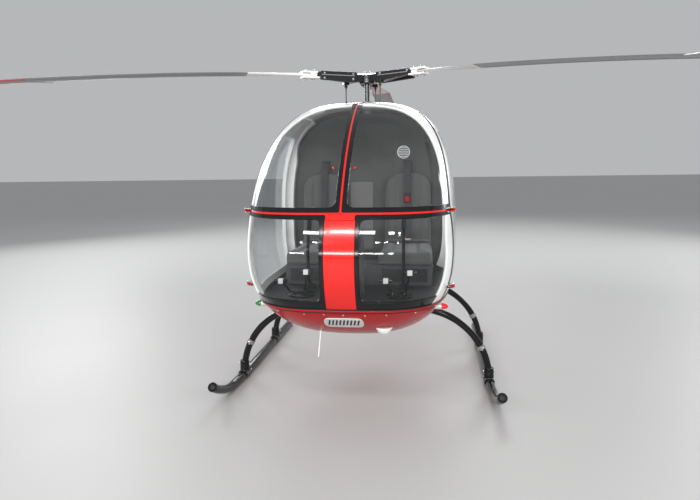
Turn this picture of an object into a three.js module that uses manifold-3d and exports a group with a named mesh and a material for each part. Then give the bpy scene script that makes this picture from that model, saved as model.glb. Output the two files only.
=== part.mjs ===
// A light two-seat helicopter: egg-shaped bubble cabin, three-blade main rotor,
// engine bay behind the cabin, tail boom with a two-blade tail rotor, tube skids.
// Millimetres, +Z up. The nose points along -Y and +X is the aircraft's left side.
// The model is drawn around the rotor mast, then moved so that the middle of its
// bounding box stands over the origin, with the skids on the floor at z = 0.

import * as THREE from 'three';
import { mergeVertices } from 'three/addons/utils/BufferGeometryUtils.js';
import Module from 'manifold-3d';

const wasm = await Module();
wasm.setup();

// Driving dimensions

const MAST_Y = -1460;            // the rotor mast's place in the finished frame
const SEAT_GAP = 0.3;            // gap where one piece rests on another
const DOOR_GAP = 5;              // running gap around the doors

const CABIN = {
  middleY: -484,                 // widest station of the cabin
  middleZ: 1111,                 // widest height of the cabin
  halfWidth: 664,
  noseReach: 1100,               // from the widest station to the nose
  rise: 930,                     // from the widest height to the roof
  drop: 626,                     // from the widest height to the belly
  rearY: -65,                    // where the cabin meets the engine cowls
};
// Powers of the cabin's rounded outlines, above and below the widest height. The
// plan's power shrinks from its middle value towards the roof and the belly.
const SHAPE = {
  above: { side: 3.1, nose: 1.5, planFall: 1.8 },
  below: { side: 2.48, nose: 2.45, planFall: 1.17 },
  plan: 3.77,
};
const BOUND = { side: 900, front: -1800, rear: 100, bottom: 300, top: 2200 };
const SHELL = 14;                // thickness of the belly, roof and windscreen frame
const DOOR_THICKNESS = 30;
const HOOP = { depth: 45, frontY: -130 };
const PANE = { inset: 4, thickness: 5 };
const SEAM_Z = 800;              // top edge of the belly
const SILL_Z = 852;              // lower edge of the lower windows
const BAND = { low: 1318, high: 1379 };
const STRIP_HALF_WIDTH = 86;     // the painted strip between the lower windows
const STRIP_BORDER = 25;         // dark border between the strip and a lower window
const DIVIDER_HALF_WIDTH = 32;   // the bar between the upper windows
const WINDOW_CORNER = 45;
const DOOR_TOP_X = 420;          // where a door meets the roof
const HINGE = { x: 632, y: -1200, zUpper: 1345, zLower: 890, knuckle: 9 };
const DOOR_REACH = 1065;         // from the hinge axis to the door's rear edge
const FLOOR_TOP = 785;

const HUB_Z = 2270;              // height of the rotor head's middle
const ROTOR_RADIUS = 3250;
const BLADE = { root: 460, inGrip: 70, chord: 170, thickness: 21 };
const MAST_RADIUS = 20;
const BLADE_ANGLES = { 1: 90, 2: 210, 3: 330 };

const SKID = { x: 922, radius: 31, frontY: -1086, tipX: 947, tipZ: 153, rearY: 1060 };
const CROSS_TUBE = { radius: 25, bendX: 398, bendZ: 40, bendRadius: 525 };
const CROSS_TUBE_Y = { front: -461, rear: 462 };

const BOOM = { startY: 1420, endY: 3930, startZ: 1470, endZ: 1540, startRadius: 118, endRadius: 66 };
const TAIL_ROTOR = { x: 205, y: 4000, z: 1600, radius: 590, chord: 105 };

// Materials, with the colours of the real finishes

const paint = (color, roughness = 0.3, metalness = 0) =>
  new THREE.MeshStandardMaterial({ color, roughness, metalness });
const FINISH = {
  brightRed: () => paint(0xe0261c, 0.18),
  bellyRed: () => paint(0xa51a1a, 0.25),
  white: () => paint(0xe9e8e4, 0.3),
  black: () => paint(0x141416, 0.3),
  tube: () => paint(0x101013, 0.2, 0.3),
  glass: () => new THREE.MeshStandardMaterial({
    color: 0xb9c4c8, roughness: 0.05, metalness: 0, transparent: true, opacity: 0.3,
  }),
  trim: () => paint(0x3a3b3d, 0.85),
  seat: () => paint(0x4a4b4e, 0.9),
  steel: () => paint(0xc6c8ca, 0.3, 0.9),
  castMetal: () => paint(0x8e9092, 0.55, 0.7),
  bladeGrey: () => paint(0xb9bbbc, 0.45),
  lamp: () => paint(0xf3f3f0, 0.1),
  green: () => paint(0x1d9c55, 0.1),
  navRed: () => paint(0xc8201c, 0.1),
};

// Small helpers for solids

function solid(geometry) {
  const bare = geometry.clone();
  bare.deleteAttribute('normal');
  bare.deleteAttribute('uv');
  const welded = mergeVertices(bare, 1e-3);
  return new wasm.Manifold(new wasm.Mesh({
    numProp: 3,
    vertProperties: new Float32Array(welded.attributes.position.array),
    triVerts: new Uint32Array(welded.index.array),
  }));
}

const join = (...solids) => solids.reduce((sum, next) => sum.add(next));
const cut = (body, ...tools) => tools.reduce((rest, tool) => rest.subtract(tool), body);
const common = (...solids) => solids.reduce((sum, next) => sum.intersect(next));

function geometryOf(body) {
  const mesh = body.getMesh();
  const geometry = new THREE.BufferGeometry();
  geometry.setAttribute('position', new THREE.BufferAttribute(mesh.vertProperties, 3));
  geometry.setIndex(new THREE.BufferAttribute(mesh.triVerts, 1));
  geometry.computeVertexNormals();
  return geometry;
}

// A closed skin through rings of points, each ring with the same number of points.
function loft(rings) {
  const count = rings[0].length;
  const points = rings.flat();
  const index = [];
  for (let ring = 0; ring + 1 < rings.length; ring += 1) {
    for (let step = 0; step < count; step += 1) {
      const next = (step + 1) % count;
      const a = ring * count + step;
      const b = ring * count + next;
      const c = a + count;
      const d = b + count;
      index.push(a, c, d, a, d, b);
    }
  }
  const middleOf = (ring) => ring.reduce((sum, p) => sum.add(p), new THREE.Vector3())
    .divideScalar(count);
  const start = points.push(middleOf(rings[0])) - 1;
  const end = points.push(middleOf(rings[rings.length - 1])) - 1;
  const lastRing = (rings.length - 1) * count;
  for (let step = 0; step < count; step += 1) {
    const next = (step + 1) % count;
    index.push(start, step, next);
    index.push(end, lastRing + next, lastRing + step);
  }
  let volume = 0;
  for (let i = 0; i < index.length; i += 3) {
    const [p, q, r] = [index[i], index[i + 1], index[i + 2]].map((k) => points[k]);
    volume += p.dot(new THREE.Vector3().crossVectors(q, r));
  }
  if (volume < 0) index.reverse();
  const geometry = new THREE.BufferGeometry();
  geometry.setAttribute('position', new THREE.Float32BufferAttribute(
    points.flatMap((p) => [p.x, p.y, p.z]), 3));
  geometry.setIndex(index);
  return geometry;
}

// A round bar through points, with one radius or a radius for each point.
function bar(points, radius, sides = 12) {
  const path = points.map((p) => new THREE.Vector3(...p));
  let normal = null;
  const rings = path.map((point, i) => {
    const before = path[Math.max(i - 1, 0)];
    const after = path[Math.min(i + 1, path.length - 1)];
    const along = after.clone().sub(before).normalize();
    if (!normal) {
      const aside = Math.abs(along.z) > 0.9 ? new THREE.Vector3(1, 0, 0) : new THREE.Vector3(0, 0, 1);
      normal = aside;
    }
    normal = normal.clone().addScaledVector(along, -normal.dot(along)).normalize();
    const side = new THREE.Vector3().crossVectors(along, normal);
    const size = Array.isArray(radius) ? radius[i] : radius;
    return Array.from({ length: sides }, (_, step) => {
      const turn = (step / sides) * 2 * Math.PI;
      return point.clone()
        .addScaledVector(normal, size * Math.cos(turn))
        .addScaledVector(side, size * Math.sin(turn));
    });
  });
  return solid(loft(rings));
}

function block(low, high) {
  const size = high.map((value, i) => value - low[i]);
  const geometry = new THREE.BoxGeometry(...size);
  geometry.translate(...high.map((value, i) => (value + low[i]) / 2));
  return solid(geometry);
}

// A flat outline pushed along x, y or z. The outline's two numbers are (y, z),
// (x, z) or (x, y).
function prism(outline, axis, from, to) {
  const shape = outline instanceof THREE.Shape ? outline
    : new THREE.Shape(outline.map(([u, v]) => new THREE.Vector2(u, v)));
  const geometry = new THREE.ExtrudeGeometry(shape, {
    depth: to - from, bevelEnabled: false, curveSegments: 5,
  });
  if (axis === 'x') {
    geometry.applyMatrix4(new THREE.Matrix4().set(0, 0, 1, from, 1, 0, 0, 0, 0, 1, 0, 0, 0, 0, 0, 1));
  } else if (axis === 'y') {
    geometry.rotateX(Math.PI / 2);
    geometry.translate(0, to, 0);
  } else {
    geometry.translate(0, 0, from);
  }
  return solid(geometry);
}

// An outline whose corners are rounded, each corner given as [u, v, radius].
function rounded(corners) {
  const shape = new THREE.Shape();
  corners.forEach(([u, v, radius], i) => {
    const corner = new THREE.Vector2(u, v);
    const [before, after] = [corners.at(i - 1), corners[(i + 1) % corners.length]]
      .map(([a, b]) => new THREE.Vector2(a, b).sub(corner).setLength(radius).add(corner));
    if (i === 0) shape.moveTo(before.x, before.y);
    else shape.lineTo(before.x, before.y);
    if (radius > 0) shape.quadraticCurveTo(u, v, after.x, after.y);
  });
  return shape;
}

// A stretch of an ellipse as a list of points in two numbers.
function arc(centreU, centreV, radiusU, radiusV, fromDeg, toDeg, steps) {
  return Array.from({ length: steps + 1 }, (_, i) => {
    const angle = THREE.MathUtils.degToRad(fromDeg + ((toDeg - fromDeg) * i) / steps);
    return [centreU + radiusU * Math.cos(angle), centreV + radiusV * Math.sin(angle)];
  });
}

const mirrored = (body) => {
  const geometry = geometryOf(body);
  geometry.scale(-1, 1, 1);
  geometry.setIndex(Array.from(geometry.index.array).reverse());
  return solid(geometry);
};

// The cabin's skin

// Whether a point, measured from the cabin's middle, lies inside the skin that is
// set in by the given distance. The plan is blunt at the widest height and rounder
// towards the roof and the belly.
function insideCabin(x, y, z, inset) {
  const shape = z > 0 ? SHAPE.above : SHAPE.below;
  const height = Math.abs(z) / ((z > 0 ? CABIN.rise : CABIN.drop) - inset);
  if (height >= 1) return false;
  const power = SHAPE.plan - shape.planFall * height ** 2;
  const width = (CABIN.halfWidth - inset) * (1 - height ** shape.side) ** (1 / shape.side);
  const reach = (CABIN.noseReach - inset) * (1 - height ** shape.nose) ** (1 / shape.nose);
  if (y >= 0) return Math.abs(x) < width;
  return (Math.abs(x) / width) ** power + (-y / reach) ** power < 1;
}

function cabinRadius(direction, inset) {
  let low = 0;
  let high = 1600;
  for (let i = 0; i < 40; i += 1) {
    const reach = (low + high) / 2;
    const [x, y, z] = direction.map((value) => value * reach);
    if (insideCabin(x, y, z, inset)) low = reach;
    else high = reach;
  }
  return low;
}

const NOSE_RINGS = [4, 14, 25, 36, 46, 55, 63, 71, 80, 90];
const RING_STEPS = 40;

function cabinSkin(inset, rearY = CABIN.rearY) {
  const ringAt = (polar) => Array.from({ length: RING_STEPS }, (_, step) => {
    const turn = ((step + 0.5) / RING_STEPS) * 2 * Math.PI;
    const lean = THREE.MathUtils.degToRad(polar);
    const direction = [
      Math.sin(lean) * Math.cos(turn), -Math.cos(lean), Math.sin(lean) * Math.sin(turn)];
    const reach = cabinRadius(direction, inset);
    return new THREE.Vector3(direction[0] * reach, CABIN.middleY + direction[1] * reach,
      CABIN.middleZ + direction[2] * reach);
  });
  const rings = NOSE_RINGS.map(ringAt);
  const widest = rings[rings.length - 1];
  rings.push(widest.map((p) => new THREE.Vector3(p.x, rearY, p.z)));
  return solid(loft(rings));
}

const skins = new Map();
function skin(inset) {
  if (!skins.has(inset)) skins.set(inset, cabinSkin(inset));
  return skins.get(inset);
}
const deepSkin = (inset) => cabinSkin(inset, 0);
const wall = (outer, inner) => cut(skin(outer), deepSkin(inner));

// Edges in side view, y for a height z: the glass ends at one, the doors start at
// the other, and the white post stands between them. Both run straight up to a
// height and then sweep aft.
const GLASS_EDGE = { y: -1320, straightTo: 1150, sweep: 876, power: 1.56 };
const DOOR_EDGE = { y: -1195, straightTo: 1330, sweep: 1173, power: 1.4 };
const EDGE_HEIGHTS = [600, 1150, 1240, 1330, 1400, 1480, 1570, 1660, 1760, 1860, 1960, 2060, 2200];
const edgeY = ({ y, straightTo, sweep, power }, z) =>
  y + sweep * (Math.max(z - straightTo, 0) / 1000) ** power;

// Everything ahead of such an edge, shifted aft by the given distance.
function aheadOf(edge, shift) {
  const outline = EDGE_HEIGHTS.map((z) => [edgeY(edge, z) + shift, z]);
  return prism([[BOUND.front, EDGE_HEIGHTS[0]], ...outline, [BOUND.front, EDGE_HEIGHTS.at(-1)]],
    'x', -BOUND.side, BOUND.side);
}

const pieces = [];
function add(name, body, finish) {
  const mesh = new THREE.Mesh(geometryOf(body), FINISH[finish]());
  mesh.name = name;
  pieces.push(mesh);
  return mesh;
}

// Front windows: two above the band and two below it

const inner = STRIP_HALF_WIDTH + STRIP_BORDER;
const upperWindow = (gap) => prism(rounded([
  [DIVIDER_HALF_WIDTH + gap, BAND.high + gap, WINDOW_CORNER], [BOUND.side, BAND.high + gap, 1],
  [BOUND.side, BOUND.top, 1], [DIVIDER_HALF_WIDTH + gap, BOUND.top, 1]]), 'y', BOUND.front, -500);
const lowerWindow = (gap) => prism(rounded([
  [inner + gap, SILL_Z + gap, WINDOW_CORNER], [BOUND.side, SILL_Z + gap, 1],
  [BOUND.side, BAND.low - gap, 1], [inner + gap, BAND.low - gap, WINDOW_CORNER]]),
'y', BOUND.front, -500);

const screenWall = wall(0, SHELL);
const aboveSeam = block([-BOUND.side, BOUND.front, SEAM_Z + SEAT_GAP],
  [BOUND.side, BOUND.rear, BOUND.top]);
const stripTop = BAND.low - 6;
const stripSeat = block([-STRIP_HALF_WIDTH - SEAT_GAP, BOUND.front, SEAM_Z - 10],
  [STRIP_HALF_WIDTH + SEAT_GAP, -900, stripTop + SEAT_GAP]);
const stripZone = block([-STRIP_HALF_WIDTH, BOUND.front, SEAM_Z + SEAT_GAP],
  [STRIP_HALF_WIDTH, -900, stripTop]);
add('windscreen_frame', cut(common(screenWall, aheadOf(GLASS_EDGE, 0), aboveSeam),
  upperWindow(0), mirrored(upperWindow(0)), lowerWindow(0), mirrored(lowerWindow(0)), stripSeat),
'black');
add('nose_strip', common(screenWall, stripZone), 'brightRed');

const paneWall = wall(PANE.inset, PANE.inset + PANE.thickness);
const paneReach = aheadOf(GLASS_EDGE, 0);
const upperPane = common(paneWall, upperWindow(SEAT_GAP), paneReach);
const lowerPane = common(paneWall, lowerWindow(SEAT_GAP), paneReach);
add('windscreen_left', upperPane, 'glass');
add('windscreen_right', mirrored(upperPane), 'glass');
add('chin_window_left', lowerPane, 'glass');
add('chin_window_right', mirrored(lowerPane), 'glass');

// Hinge knuckles: the door's between two of the post's, at two heights. Each has a
// web whose outline, measured from the hinge axis, runs into its own panel.

const POST_WEB = [[4, -8], [4, 4], [-55, 4], [-55, -42], [-30, -42]];
const DOOR_WEB = [[-9, -2], [9, -2], [9, 20], [-12, 40], [-60, 40], [-60, 30], [-25, 14]];
const KNUCKLE = { post: [11, 25], door: 11 - SEAT_GAP };
function knuckle(z, low, high, webOutline) {
  const post = bar([[HINGE.x, HINGE.y, z + low], [HINGE.x, HINGE.y, z + high]], HINGE.knuckle);
  const web = prism(webOutline.map(([x, y]) => [HINGE.x + x, HINGE.y + y]), 'z', z + low, z + high);
  return join(post, web);
}
const HINGE_HEIGHTS = [HINGE.zUpper, HINGE.zLower];
const [near, far] = KNUCKLE.post;
const postKnuckles = cut(join(...HINGE_HEIGHTS.flatMap((z) =>
  [[-far, -near], [near, far]].map(([low, high]) => knuckle(z, low, high, POST_WEB)))),
deepSkin(SHELL - 2));
const doorKnuckles = cut(join(...HINGE_HEIGHTS.map((z) =>
  knuckle(z, -KNUCKLE.door, KNUCKLE.door, DOOR_WEB))), deepSkin(DOOR_THICKNESS / 3));

// Roof, front posts and rear hoop: one white moulding around the door openings

const doorSweep = (reach, low) => bar(
  [[HINGE.x, HINGE.y, low], [HINGE.x, HINGE.y, BOUND.top]], reach, 96);
const behindGlass = cut(block([-BOUND.side, BOUND.front, SEAM_Z + SEAT_GAP],
  [BOUND.side, CABIN.rearY, BOUND.top]), aheadOf(GLASS_EDGE, SEAT_GAP));
const doorHole = cut(
  common(doorSweep(DOOR_REACH + DOOR_GAP, SEAM_Z - 20),
    block([DOOR_TOP_X - DOOR_GAP, BOUND.front, SEAM_Z - 20], [BOUND.side, 0, BOUND.top])),
  aheadOf(DOOR_EDGE, 0));
const hoop = common(wall(0, HOOP.depth), block([-BOUND.side, HOOP.frontY, SEAM_Z + SEAT_GAP],
  [BOUND.side, CABIN.rearY, BOUND.top]));
const moulding = join(common(screenWall, behindGlass), hoop);
add('roof_and_hoop', join(cut(moulding, doorHole, mirrored(doorHole)),
  postKnuckles, mirrored(postKnuckles)), 'white');

// Doors: a thick frame around a wide pane, hung on the front edge

const doorZone = cut(
  common(doorSweep(DOOR_REACH, SEAM_Z + DOOR_GAP),
    block([DOOR_TOP_X, BOUND.front, SEAM_Z + DOOR_GAP], [BOUND.side, 0, BOUND.top])),
  aheadOf(DOOR_EDGE, DOOR_GAP));
const DOOR_WINDOW = { front: -1148, rear: -182, low: 850, high: 1825 };
const doorWindow = (gap) => prism(rounded([
  [DOOR_WINDOW.front + gap, DOOR_WINDOW.low + gap, 60],
  [DOOR_WINDOW.rear - gap, DOOR_WINDOW.low + gap, 90],
  [DOOR_WINDOW.rear - gap, DOOR_WINDOW.high - gap, 120],
  [-705 + gap, DOOR_WINDOW.high - gap, 50], [-1060 + gap, 1480, 100],
  [DOOR_WINDOW.front + gap, 1340, 60]]), 'x', 300, BOUND.side);
const doorFrame = join(cut(common(wall(0, DOOR_THICKNESS), doorZone), doorWindow(0)), doorKnuckles);
const doorPane = common(paneWall, doorWindow(SEAT_GAP));
add('door_frame_left', doorFrame, 'white');
add('door_frame_right', mirrored(doorFrame), 'white');
add('door_window_left', doorPane, 'glass');
add('door_window_right', mirrored(doorPane), 'glass');

// Cross tubes: bent from one round tube, straight in the middle, standing in the
// saddles of the skids. The belly and the cowls have a hole for each.

const TUBE_STEPS = 9;
const TUBE_FOOT_Z = 96;
function crossTube(y, radius, footZ) {
  const { bendX, bendZ, bendRadius } = CROSS_TUBE;
  const toFoot = THREE.MathUtils.radToDeg(Math.asin((footZ - bendZ) / bendRadius));
  const half = arc(bendX, bendZ, bendRadius, bendRadius, 90, toFoot, TUBE_STEPS)
    .map(([x, z]) => [x, y, z]);
  const other = half.map(([x, , z]) => [-x, y, z]).reverse();
  return bar([...other, ...half], radius, 14);
}
const tubeHoles = Object.values(CROSS_TUBE_Y).map((y) =>
  crossTube(y, CROSS_TUBE.radius + SEAT_GAP, TUBE_FOOT_Z - SEAT_GAP));
const tubeTop = CROSS_TUBE.bendZ + CROSS_TUBE.bendRadius + CROSS_TUBE.radius;

// Belly, with a raised lip along its top edge

const LIP = { height: 26, proud: 7, depth: 4 };
const bellyZone = (height) => block([-BOUND.side, BOUND.front, SEAM_Z - height],
  [BOUND.side, CABIN.rearY, SEAM_Z]);
const belly = join(common(wall(0, SHELL), bellyZone(SEAM_Z - BOUND.bottom)),
  common(cut(skin(-LIP.proud), deepSkin(LIP.depth)), bellyZone(LIP.height)));
add('belly', cut(belly, ...tubeHoles), 'bellyRed');

// Floor and rear bulkhead

const floorZone = block([-BOUND.side, BOUND.front, FLOOR_TOP - 15],
  [BOUND.side, HOOP.frontY - SEAT_GAP, FLOOR_TOP]);
add('cabin_floor', common(deepSkin(SHELL + SEAT_GAP), floorZone), 'trim');
const BULKHEAD_FRONT = CABIN.rearY - 16;
const bulkheadZone = block([-BOUND.side, BULKHEAD_FRONT, BOUND.bottom],
  [BOUND.side, CABIN.rearY, BOUND.top]);
add('rear_bulkhead', common(deepSkin(HOOP.depth + SEAT_GAP), bulkheadZone), 'trim');

// Engine cowls: two halves that meet on the centre line. They take over the cabin's
// outline and run down to the round collar that holds the tail boom.

const COWL_WALL = 9;
const COWL_SIDES = 40;
const COWL_END = (BOOM.startRadius + SEAT_GAP) / Math.cos(Math.PI / COWL_SIDES) + COWL_WALL;
const [cabinTop, cabinBottom] = [CABIN.middleZ + CABIN.rise, CABIN.middleZ - CABIN.drop];
const { above: { side: above }, below: { side: below } } = SHAPE;
// Columns: station y, top z, widest z, bottom z, half width, powers above and below.
const COWL_STATIONS = [
  [CABIN.rearY + SEAT_GAP, cabinTop, CABIN.middleZ, cabinBottom, CABIN.halfWidth, above, below],
  [150, 2018, 1115, 486, 650, 2.9, 2.4],
  [440, 1945, 1130, 500, 585, 2.6, 2.3],
  [700, 1845, 1190, 600, 470, 2.4, 2.2],
  [900, 1770, 1280, 790, 365, 2.3, 2.1],
  [1100, 1700, 1380, 1030, 262, 2.2, 2.0],
  [1320, BOOM.startZ + COWL_END, BOOM.startZ, BOOM.startZ - COWL_END, COWL_END, 2, 2],
  [1400, BOOM.startZ + COWL_END, BOOM.startZ, BOOM.startZ - COWL_END, COWL_END, 2, 2],
];
function cowlRing([y, top, widest, bottom, halfWidth, powerAbove, powerBelow], inset) {
  return Array.from({ length: COWL_SIDES }, (_, step) => {
    const turn = ((step + 0.5) / COWL_SIDES) * 2 * Math.PI;
    const [c, s] = [Math.cos(turn), Math.sin(turn)];
    const power = s > 0 ? powerAbove : powerBelow;
    const height = (s > 0 ? top - widest : widest - bottom) - inset;
    const bent = (value) => Math.sign(value) * Math.abs(value) ** (2 / power);
    return new THREE.Vector3((halfWidth - inset) * bent(c), y, widest + height * bent(s));
  });
}
const cowlSkin = (inset, stretch) => {
  const rings = COWL_STATIONS.map((station) => cowlRing(station, inset));
  if (stretch > 0) {
    rings.unshift(rings[0].map((p) => p.clone().setY(p.y - stretch)));
    rings.push(rings.at(-1).map((p) => p.clone().setY(p.y + stretch)));
  }
  return solid(loft(rings));
};
const NECK = { radius: 42, clearance: 4, top: 2050 };
const mastHole = bar([[0, 0, 1700], [0, 0, BOUND.top]], NECK.radius + NECK.clearance, 24);
const cowl = cut(cowlSkin(0, 0), cowlSkin(COWL_WALL, 100), mastHole, ...tubeHoles);
const COWL_BOX = { side: 1000, front: -300, rear: 1700, top: 2300 };
add('cowl_left', common(cowl, block([SEAT_GAP / 2, COWL_BOX.front, 0],
  [COWL_BOX.side, COWL_BOX.rear, COWL_BOX.top])), 'bellyRed');
add('cowl_right', common(cowl, block([-COWL_BOX.side, COWL_BOX.front, 0],
  [-SEAT_GAP / 2, COWL_BOX.rear, COWL_BOX.top])), 'bellyRed');

// Engine, and the gearbox whose neck carries the rotor mast

const ENGINE = { halfWidth: 200, frontY: 120, rearY: 540, height: 480 };
const engineFoot = tubeTop + SEAT_GAP;
add('engine', block([-ENGINE.halfWidth, ENGINE.frontY, engineFoot],
  [ENGINE.halfWidth, ENGINE.rearY, engineFoot + ENGINE.height]), 'castMetal');
const gearCase = block([-150, CABIN.rearY + SEAT_GAP, 1250], [150, 190, 1640]);
const neck = bar([[0, 0, 1600], [0, 0, NECK.top]], NECK.radius, 24);
const boreBottom = 1700;
const mastBore = bar([[0, 0, boreBottom], [0, 0, 2300]], MAST_RADIUS + 6, 24);
add('main_gearbox', cut(join(gearCase, neck), mastBore), 'castMetal');

// Cabin fittings

const SEAT_X = { left: 320, right: -320 };
const SEAT = { boxFront: -720, boxTop: 930, cushionFront: -760, cushionTop: 1030, top: 1545 };
const seatFoot = SEAT.boxTop + SEAT_GAP;
const cushionRear = BULKHEAD_FRONT - 156;
add('seat_box', block([-510, SEAT.boxFront, FLOOR_TOP + SEAT_GAP],
  [510, BULKHEAD_FRONT - SEAT_GAP, SEAT.boxTop]), 'trim');
Object.entries(SEAT_X).forEach(([side, x]) => {
  const cushion = prism(rounded([[SEAT.cushionFront, seatFoot, 15], [cushionRear, seatFoot, 1],
    [cushionRear, SEAT.cushionTop, 15], [SEAT.cushionFront, SEAT.cushionTop, 50]]),
  'x', x - 185, x + 185);
  add(`seat_cushion_${side}`, cushion, 'seat');
  const profile = prism([[BULKHEAD_FRONT - 155, seatFoot], [BULKHEAD_FRONT - 22, seatFoot],
    [BULKHEAD_FRONT - SEAT_GAP, SEAT.top], [BULKHEAD_FRONT - 80, SEAT.top]], 'x', x - 178, x + 178);
  const front = prism(rounded([[x - 178, seatFoot - 1, 1], [x + 178, seatFoot - 1, 1],
    [x + 178, SEAT.top, 110], [x - 178, SEAT.top, 110]]), 'y', BULKHEAD_FRONT - 200, CABIN.rearY);
  add(`seat_back_${side}`, common(profile, front), 'seat');
});
const pedestal = prism([[-1120, FLOOR_TOP + SEAT_GAP], [-1000, FLOOR_TOP + SEAT_GAP],
  [-1000, 1080], [-1090, 1175], [-1220, 1175], [-1220, 920]], 'x', -80, 80);
add('instrument_console', pedestal, 'trim');

// Pedals: two arms rise from one oval foot at each side. Columns: x of the foot, then
// x and height above the floor for the pad of each arm.
const PEDALS = { y: -1060, padY: -1100, footRadius: 88, footHeight: 14, armRadius: 9, padHalf: 42 };
const PEDAL_SETS = { left: [302, [[220, 108], [370, 160]]], right: [-322, [[-450, 100], [-285, 160]]] };
Object.entries(PEDAL_SETS).forEach(([side, [footX, pads]]) => {
  const foot = bar([[footX, PEDALS.y, FLOOR_TOP + SEAT_GAP],
    [footX, PEDALS.y, FLOOR_TOP + PEDALS.footHeight]], PEDALS.footRadius, 20);
  const arms = pads.map(([x, height]) => join(
    bar([[footX + (x - footX) * 0.5, PEDALS.y, FLOOR_TOP + 6], [x, PEDALS.padY, FLOOR_TOP + height]],
      PEDALS.armRadius, 8),
    bar([[x - PEDALS.padHalf, PEDALS.padY, FLOOR_TOP + height],
      [x + PEDALS.padHalf, PEDALS.padY, FLOOR_TOP + height]], 13, 10)));
  add(`pedals_${side}`, join(foot, ...arms), 'black');
});
Object.entries(SEAT_X).forEach(([side, x]) => {
  const stick = join(
    bar([[x, -830, FLOOR_TOP + SEAT_GAP], [x, -830, FLOOR_TOP + 40]], 45, 16),
    bar([[x, -830, FLOOR_TOP + 20], [x, -860, FLOOR_TOP + 250], [x, -800, FLOOR_TOP + 400]], 11, 10),
    bar([[x, -800, FLOOR_TOP + 390], [x, -785, FLOOR_TOP + 510]], 18, 12));
  add(`cyclic_${side}`, stick, 'black');
});
const collective = join(
  block([-28, -800, FLOOR_TOP + SEAT_GAP], [28, SEAT.boxFront - 6, FLOOR_TOP + 60]),
  bar([[0, -765, FLOOR_TOP + 50], [0, -900, FLOOR_TOP + 190]], 13, 10),
  bar([[0, -895, FLOOR_TOP + 185], [0, -960, FLOOR_TOP + 250]], 19, 12));
add('collective_lever', collective, 'black');

// Skids and cross tubes. The skids run straight to the front saddle, then toe out and
// curve up to a round tip.

Object.entries(CROSS_TUBE_Y).forEach(([end, y]) =>
  add(`cross_tube_${end}`, crossTube(y, CROSS_TUBE.radius, TUBE_FOOT_Z), 'tube'));
const SADDLE = { inner: 42, outer: 38, halfLength: 62, low: 14, high: 136 };
// Columns: station y and the rise above the ground run.
const SKID_CURVE = [[-700, 0], [-820, 12], [-930, 45], [-1020, 84], [SKID.frontY, SKID.tipZ - SKID.radius]];
const toeOut = (y) => ((SKID.tipX - SKID.x) * (CROSS_TUBE_Y.front - y)) / (CROSS_TUBE_Y.front - SKID.frontY);
function skid(sign) {
  const x = sign * SKID.x;
  const run = bar([
    [x, SKID.rearY, SKID.radius], [x, 0, SKID.radius], [x, CROSS_TUBE_Y.front, SKID.radius],
    ...SKID_CURVE.map(([y, rise]) => [x + sign * toeOut(y), y, SKID.radius + rise])],
  SKID.radius, 16);
  const [near, far] = [x - sign * SADDLE.inner, x + sign * SADDLE.outer];
  const saddles = Object.values(CROSS_TUBE_Y).map((y) => block(
    [Math.min(near, far), y - SADDLE.halfLength, SADDLE.low],
    [Math.max(near, far), y + SADDLE.halfLength, SADDLE.high]));
  return cut(join(run, ...saddles), ...tubeHoles);
}
add('skid_left', skid(1), 'tube');
add('skid_right', skid(-1), 'tube');

// Lamps, grille and rod under the nose

const outsideCabin = (body) => cut(body, skin(-SEAT_GAP));
const LAMP = { x: 224, y: -1300, z: 655, radius: 49 };
const lampDome = arc(0, LAMP.z, LAMP.radius, LAMP.radius, 0, -78, 5);
add('landing_light', outsideCabin(bar(lampDome.map(([, z]) => [LAMP.x, LAMP.y, z]),
  lampDome.map(([radius]) => radius), 20)), 'lamp');
const GRILLE = { halfWidth: 116, low: 672, high: 744, corner: 35, proud: 7 };
const grille = prism(rounded([
  [-GRILLE.halfWidth, GRILLE.low, GRILLE.corner], [GRILLE.halfWidth, GRILLE.low, GRILLE.corner],
  [GRILLE.halfWidth, GRILLE.high, GRILLE.corner], [-GRILLE.halfWidth, GRILLE.high, GRILLE.corner]]),
'y', BOUND.front, -1200);
add('vent_grille', common(grille, cut(skin(-GRILLE.proud), skin(-SEAT_GAP))), 'steel');
add('belly_rod', outsideCabin(bar([[-173, -1200, 645], [-197, -1200, 425]], [5, 3.5], 8)), 'white');
const NAV = { y: -1160, z: 753, radius: 20, tipRadius: 9, inX: 500, endX: 588, tipX: 605 };
[['left', 1, 'navRed'], ['right', -1, 'green']].forEach(([side, sign, finish]) => {
  const barrel = [NAV.inX, NAV.endX, NAV.tipX].map((x) => [sign * x, NAV.y, NAV.z]);
  add(`nav_light_${side}`,
    outsideCabin(bar(barrel, [NAV.radius, NAV.radius, NAV.tipRadius], 14)), finish);
});

// Tail: boom, fins, stabiliser, gearbox and guard

const boomAt = (y) => {
  const share = (y - BOOM.startY) / (BOOM.endY - BOOM.startY);
  return {
    z: BOOM.startZ + share * (BOOM.endZ - BOOM.startZ),
    radius: BOOM.startRadius + share * (BOOM.endRadius - BOOM.startRadius),
  };
};
const boomBar = bar([[0, BOOM.startY - 150, BOOM.startZ], [0, BOOM.startY, BOOM.startZ],
  [0, BOOM.endY + 20, boomAt(BOOM.endY + 20).z]],
[BOOM.startRadius, BOOM.startRadius, boomAt(BOOM.endY + 20).radius], 24);
add('tail_boom', cut(boomBar, block([-200, BOOM.endY, 1000], [200, 4200, 2000])), 'white');

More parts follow.
